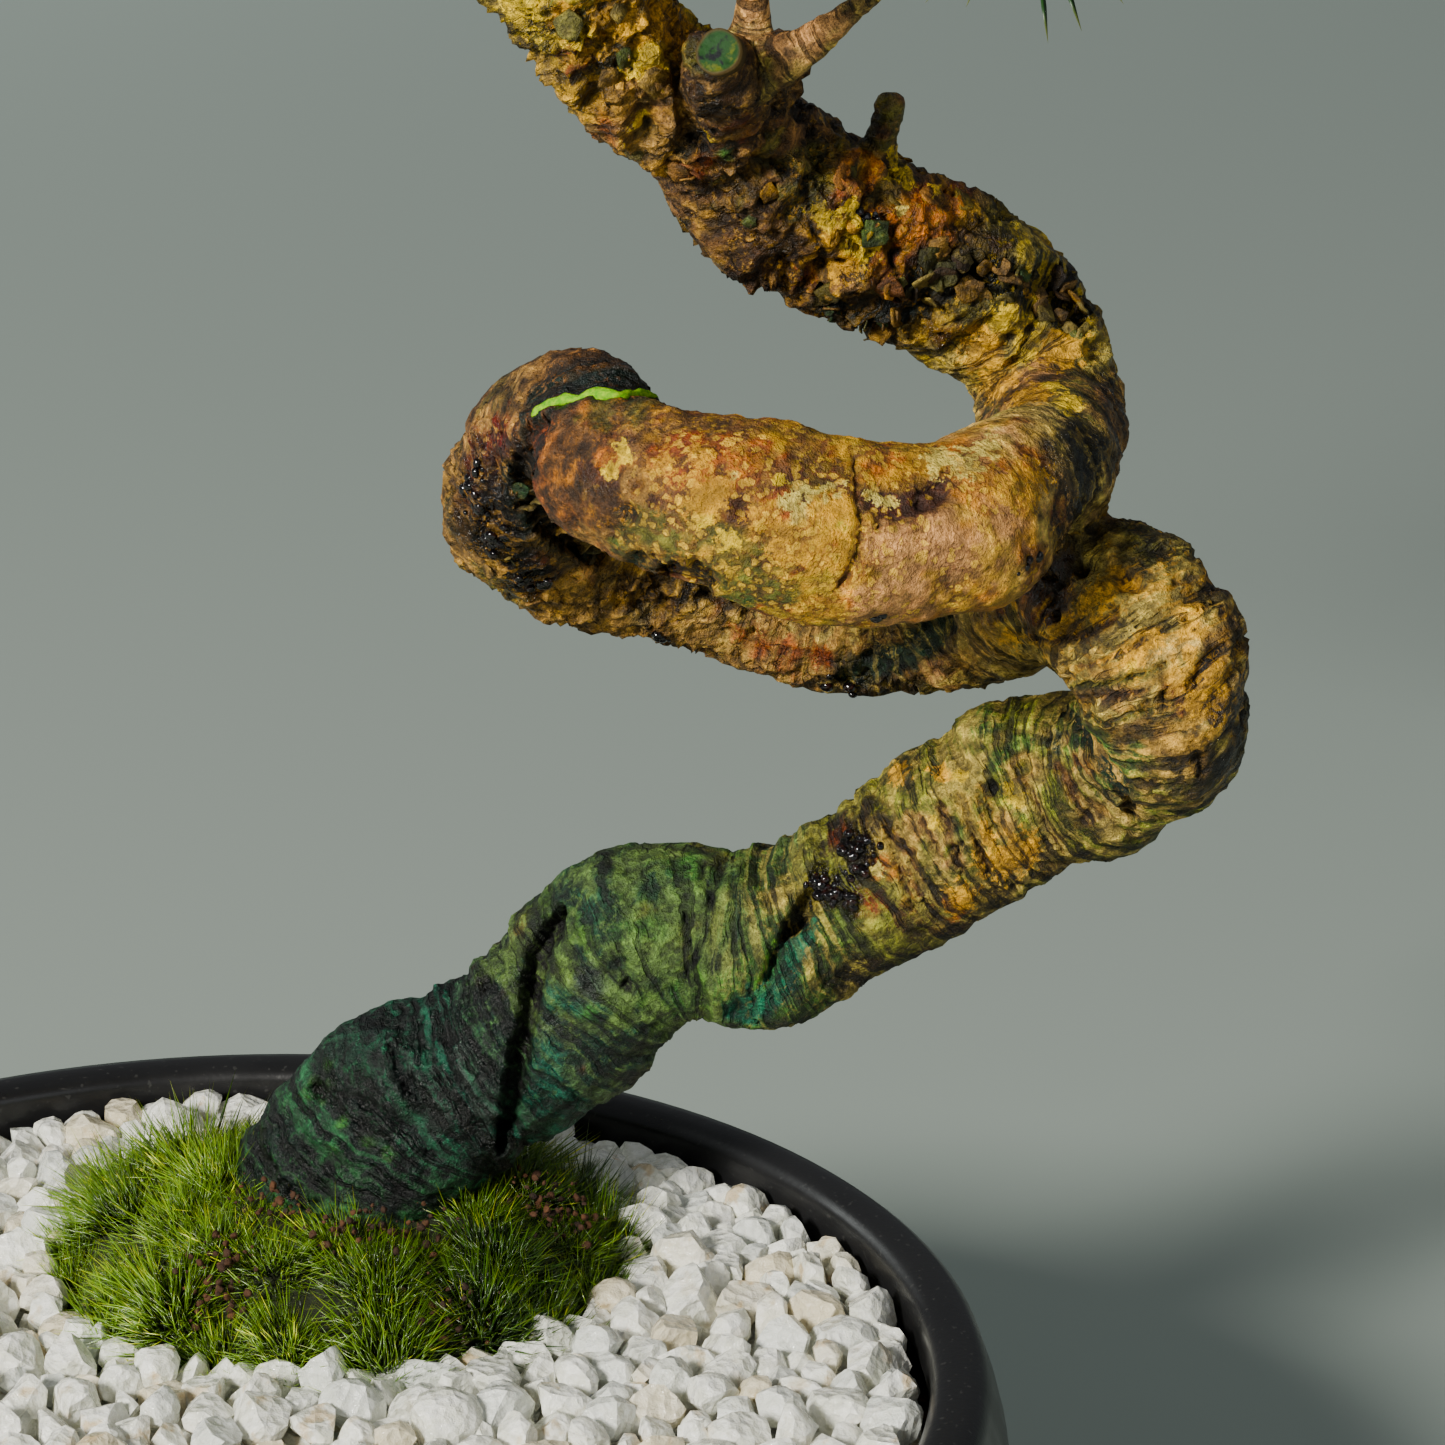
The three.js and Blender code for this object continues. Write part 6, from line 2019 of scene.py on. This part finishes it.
needle_shapes = [needle_tuft() for _ in range(NEEDLE_KINDS)]
along_needle = np.tile(needle_height, PAIRS_IN_TUFT * 2)
pair_tone = np.repeat(needle_numbers.uniform(0, 1, PAIRS_IN_TUFT), 2 * len(needle_height))
print("triangles of a tuft of needles:", len(needle_shapes[0][1]))

# %% Finishes for needles and shoots
needle_green = Finish("pine_needles", Roughness=0.42)
height = needle_green.attribute("height", "Fac")
age = needle_green.attribute("age", "Fac")
blade_tone = needle_green.mix(age, colour(24, 62, 22), colour(62, 98, 34))
tipped = needle_green.mix(needle_green.ramp(height, 0.8, 1.0, 0, 0.55), blade_tone, colour(150, 150, 70))
needle_green.set(
    Base_Color=needle_green.mix(needle_green.ramp(height, 0.16, 0.02, 0, 1), tipped, colour(112, 92, 52)),
)

shoot_bark = Finish("shoot_bark", Roughness=0.8)
here = shoot_bark.place()
budded = shoot_bark.attribute("bud", "Fac")
ridges = shoot_bark.noise(here, 0.9, 4, 0.65)
twig_tone = shoot_bark.mix(ridges, colour(72, 48, 26), colour(150, 112, 66))
bud_tone = shoot_bark.mix(ridges, colour(196, 178, 140), colour(238, 230, 208))
shoot_bark.set(
    Base_Color=shoot_bark.mix(budded, twig_tone, bud_tone),
    Normal=shoot_bark.bump(ridges, 0.3),
)
print("needle and shoot finishes ready")

# %% The pads of foliage
PAD_DOME = 9
STEM_LENGTH = 4
STEM_RADIUS = 1.4
SHOOT_RADIUS = 1.1
TUFT_LEAN = 0.75
STEM_START = 0.8
# Each pad: the bough that carries it, its middle, its reach sideways and in depth, the way
# that it faces and its tufts.
PADS = {
    "left": ("left", (-62, 16, 291), (42, 32), (-0.2, 0, 1), 8),
    "right": ("right", (118, -10, 299), (36, 29), (0.2, 0, 1), 7),
    "back": ("back", (31, 72, 300), (34, 28), (0, 0.2, 1), 6),
    "front": ("front", (38, -57, 302), (32, 25), (0, -0.2, 1), 6),
    "upper_right": ("upper_right", (82, 5, 347), (30, 26), (0.2, 0, 1), 6),
    "upper_left": ("upper_left", (-18, 9, 357), (27, 24), (-0.2, 0, 1), 5),
    "crown": ("trunk", (33, 2, 392), (30, 26), (0, 0, 1), 7),
    "small_twig": ("small_twig", (91, -26, 258), (0, 0), (0.2, -0.8, 0.3), 1),
    "thin_twig": ("thin_twig", (54, -22, 259), (0, 0), (-0.3, -0.8, 0.3), 1),
}


def pad_tufts(pad, seed):
    """Where the pad's shoots fork, where its tufts sit and which way they point."""
    bough, middle, reach, towards, count = PADS[pad]
    route = np.array(LIMBS[bough], dtype=float)[:, :3]
    last, outward = route[-1], unit(route[-1] - route[-2])
    start = last + outward * STEM_START
    stem_end = start + outward * STEM_LENGTH
    face = unit(np.array(towards, dtype=float))
    middle = np.array(middle, dtype=float)
    hub = middle - face * PAD_DOME / 2
    tufts = []
    for n in range(count):
        share = math.sqrt((n + 0.4) / (count - 0.5)) if count > 1 else 0
        angle = n * GOLDEN_ANGLE + seed
        out = np.array([math.cos(angle) * share, math.sin(angle) * share, 0])
        base = middle + out * [reach[0], reach[1], 0] + face * PAD_DOME * (1 - share**2)
        fork = stem_end + (hub - stem_end) * (0.3 + 0.65 * (n + 0.5) / count)
        tufts.append((fork, base, unit(face + out * TUFT_LEAN)))
    return last - outward * 2, stem_end, hub, tufts


def shoots(pad, stem_start, stem_end, hub, tufts):
    """The pad's shoots and buds as one mesh."""
    routes = [[(*stem_start, STEM_RADIUS * 1.3), (*stem_end, STEM_RADIUS), (*hub, SHOOT_RADIUS)]]
    for fork, base, way in tufts:
        bend = (fork + base) / 2 - way * 2
        tip = base + way * SHOOT_LENGTH
        routes.append([(*fork, SHOOT_RADIUS), (*bend, SHOOT_RADIUS), (*base, 1.2), (*tip, 1.0)])
    limbs = [limb_tube("shoot", route, 2, 2.5) for route in routes]
    for _, base, way in tufts:
        bud = [(0, 0.9), (2, 1.5), (4.5, 1.2), (7, 0.35)]
        top = base + way * (SHOOT_LENGTH - 0.5)
        limbs.append(limb_tube("bud", [(*(top + way * z), r) for z, r in bud], 2))
    only(*limbs)
    bpy.ops.object.join()
    piece = named(f"shoots_{pad}")
    points = points_of(piece)
    bud = np.zeros(len(points))
    for _, base, way in tufts:
        from_base = points - base
        height = from_base @ way
        aside = np.linalg.norm(from_base - height[:, None] * way, axis=1)
        bud[(height > SHOOT_LENGTH - 0.4) & (aside < 2)] = 1
    store(piece, "bud", "FLOAT", bud)
    piece.data.shade_smooth()
    return piece


for seed, pad in enumerate(PADS, start=1):
    stem_start, stem_end, hub, tufts = pad_tufts(pad, seed)
    node = f"foliage_{pad}"
    finish_piece(shoots(pad, stem_start, stem_end, hub, tufts), "bark", shoot_bark.material, node)
    ways = np.array([way for _, _, way in tufts])
    bases = np.array([base for _, base, _ in tufts])
    spins = needle_numbers.uniform(0, FULL_TURN, len(tufts))
    turns = turns_towards(ways, spins, np.ones(len(tufts)))
    kinds = needle_numbers.integers(0, NEEDLE_KINDS, len(tufts))
    piece, owners, _ = copies(f"needles_{pad}", needle_shapes, kinds, turns, bases)
    store(piece, "height", "FLOAT", np.tile(along_needle, len(tufts)))
    tuft_age = needle_numbers.uniform(-0.2, 0.2, len(tufts))
    store(piece, "age", "FLOAT", np.clip(np.tile(pair_tone, len(tufts)) + tuft_age[owners], 0, 1))
    finish_piece(piece, "needles", needle_green.material, node)

# %% [markdown]
# ## Floor and light
# The object stands on a plain pale floor. One soft lamp from the upper left gives the clear
# shadows of the photograph, a large weak one fills them, and a third lights the floor far
# behind. The sky adds a little more.

# %% Floor and light
FLOOR_SIZE = 30

bpy.ops.mesh.primitive_plane_add(size=FLOOR_SIZE)
floor = named("floor")
paper = Finish("plain_floor", Roughness=0.9)
paper.set(Base_Color=colour(160, 172, 164))
floor.data.materials.append(paper.material)


def lamp(name, place, target, size, power, tint):
    """A square lamp that looks at a point. Places are in metres."""
    way = Vector(target) - Vector(place)
    bpy.ops.object.light_add(type="AREA", location=place, rotation=way.to_track_quat("-Z", "Y").to_euler())
    light = bpy.context.object
    light.name = name
    light.data.size = size
    light.data.energy = power
    light.data.color = tint


TREE_MIDDLE = (0.05, 0.0, 0.16)
lamp("key_lamp", (-0.8, -1.1, 0.84), TREE_MIDDLE, 0.28, 44, (1.0, 0.97, 0.9))
lamp("fill_lamp", (1.2, -1.1, 0.8), TREE_MIDDLE, 1.2, 4.0, (0.92, 0.96, 1.0))
lamp("floor_lamp", (-2.6, 2.0, 1.6), (-2.2, 3.4, 0.0), 1.6, 130, (0.94, 1.0, 0.97))
world = bpy.data.worlds.new("studio")
bpy.context.scene.world = world
world.use_nodes = True
sky = world.node_tree.nodes["Background"].inputs
sky["Color"].default_value = (0.9, 0.95, 1.0, 1)
sky["Strength"].default_value = 0.14
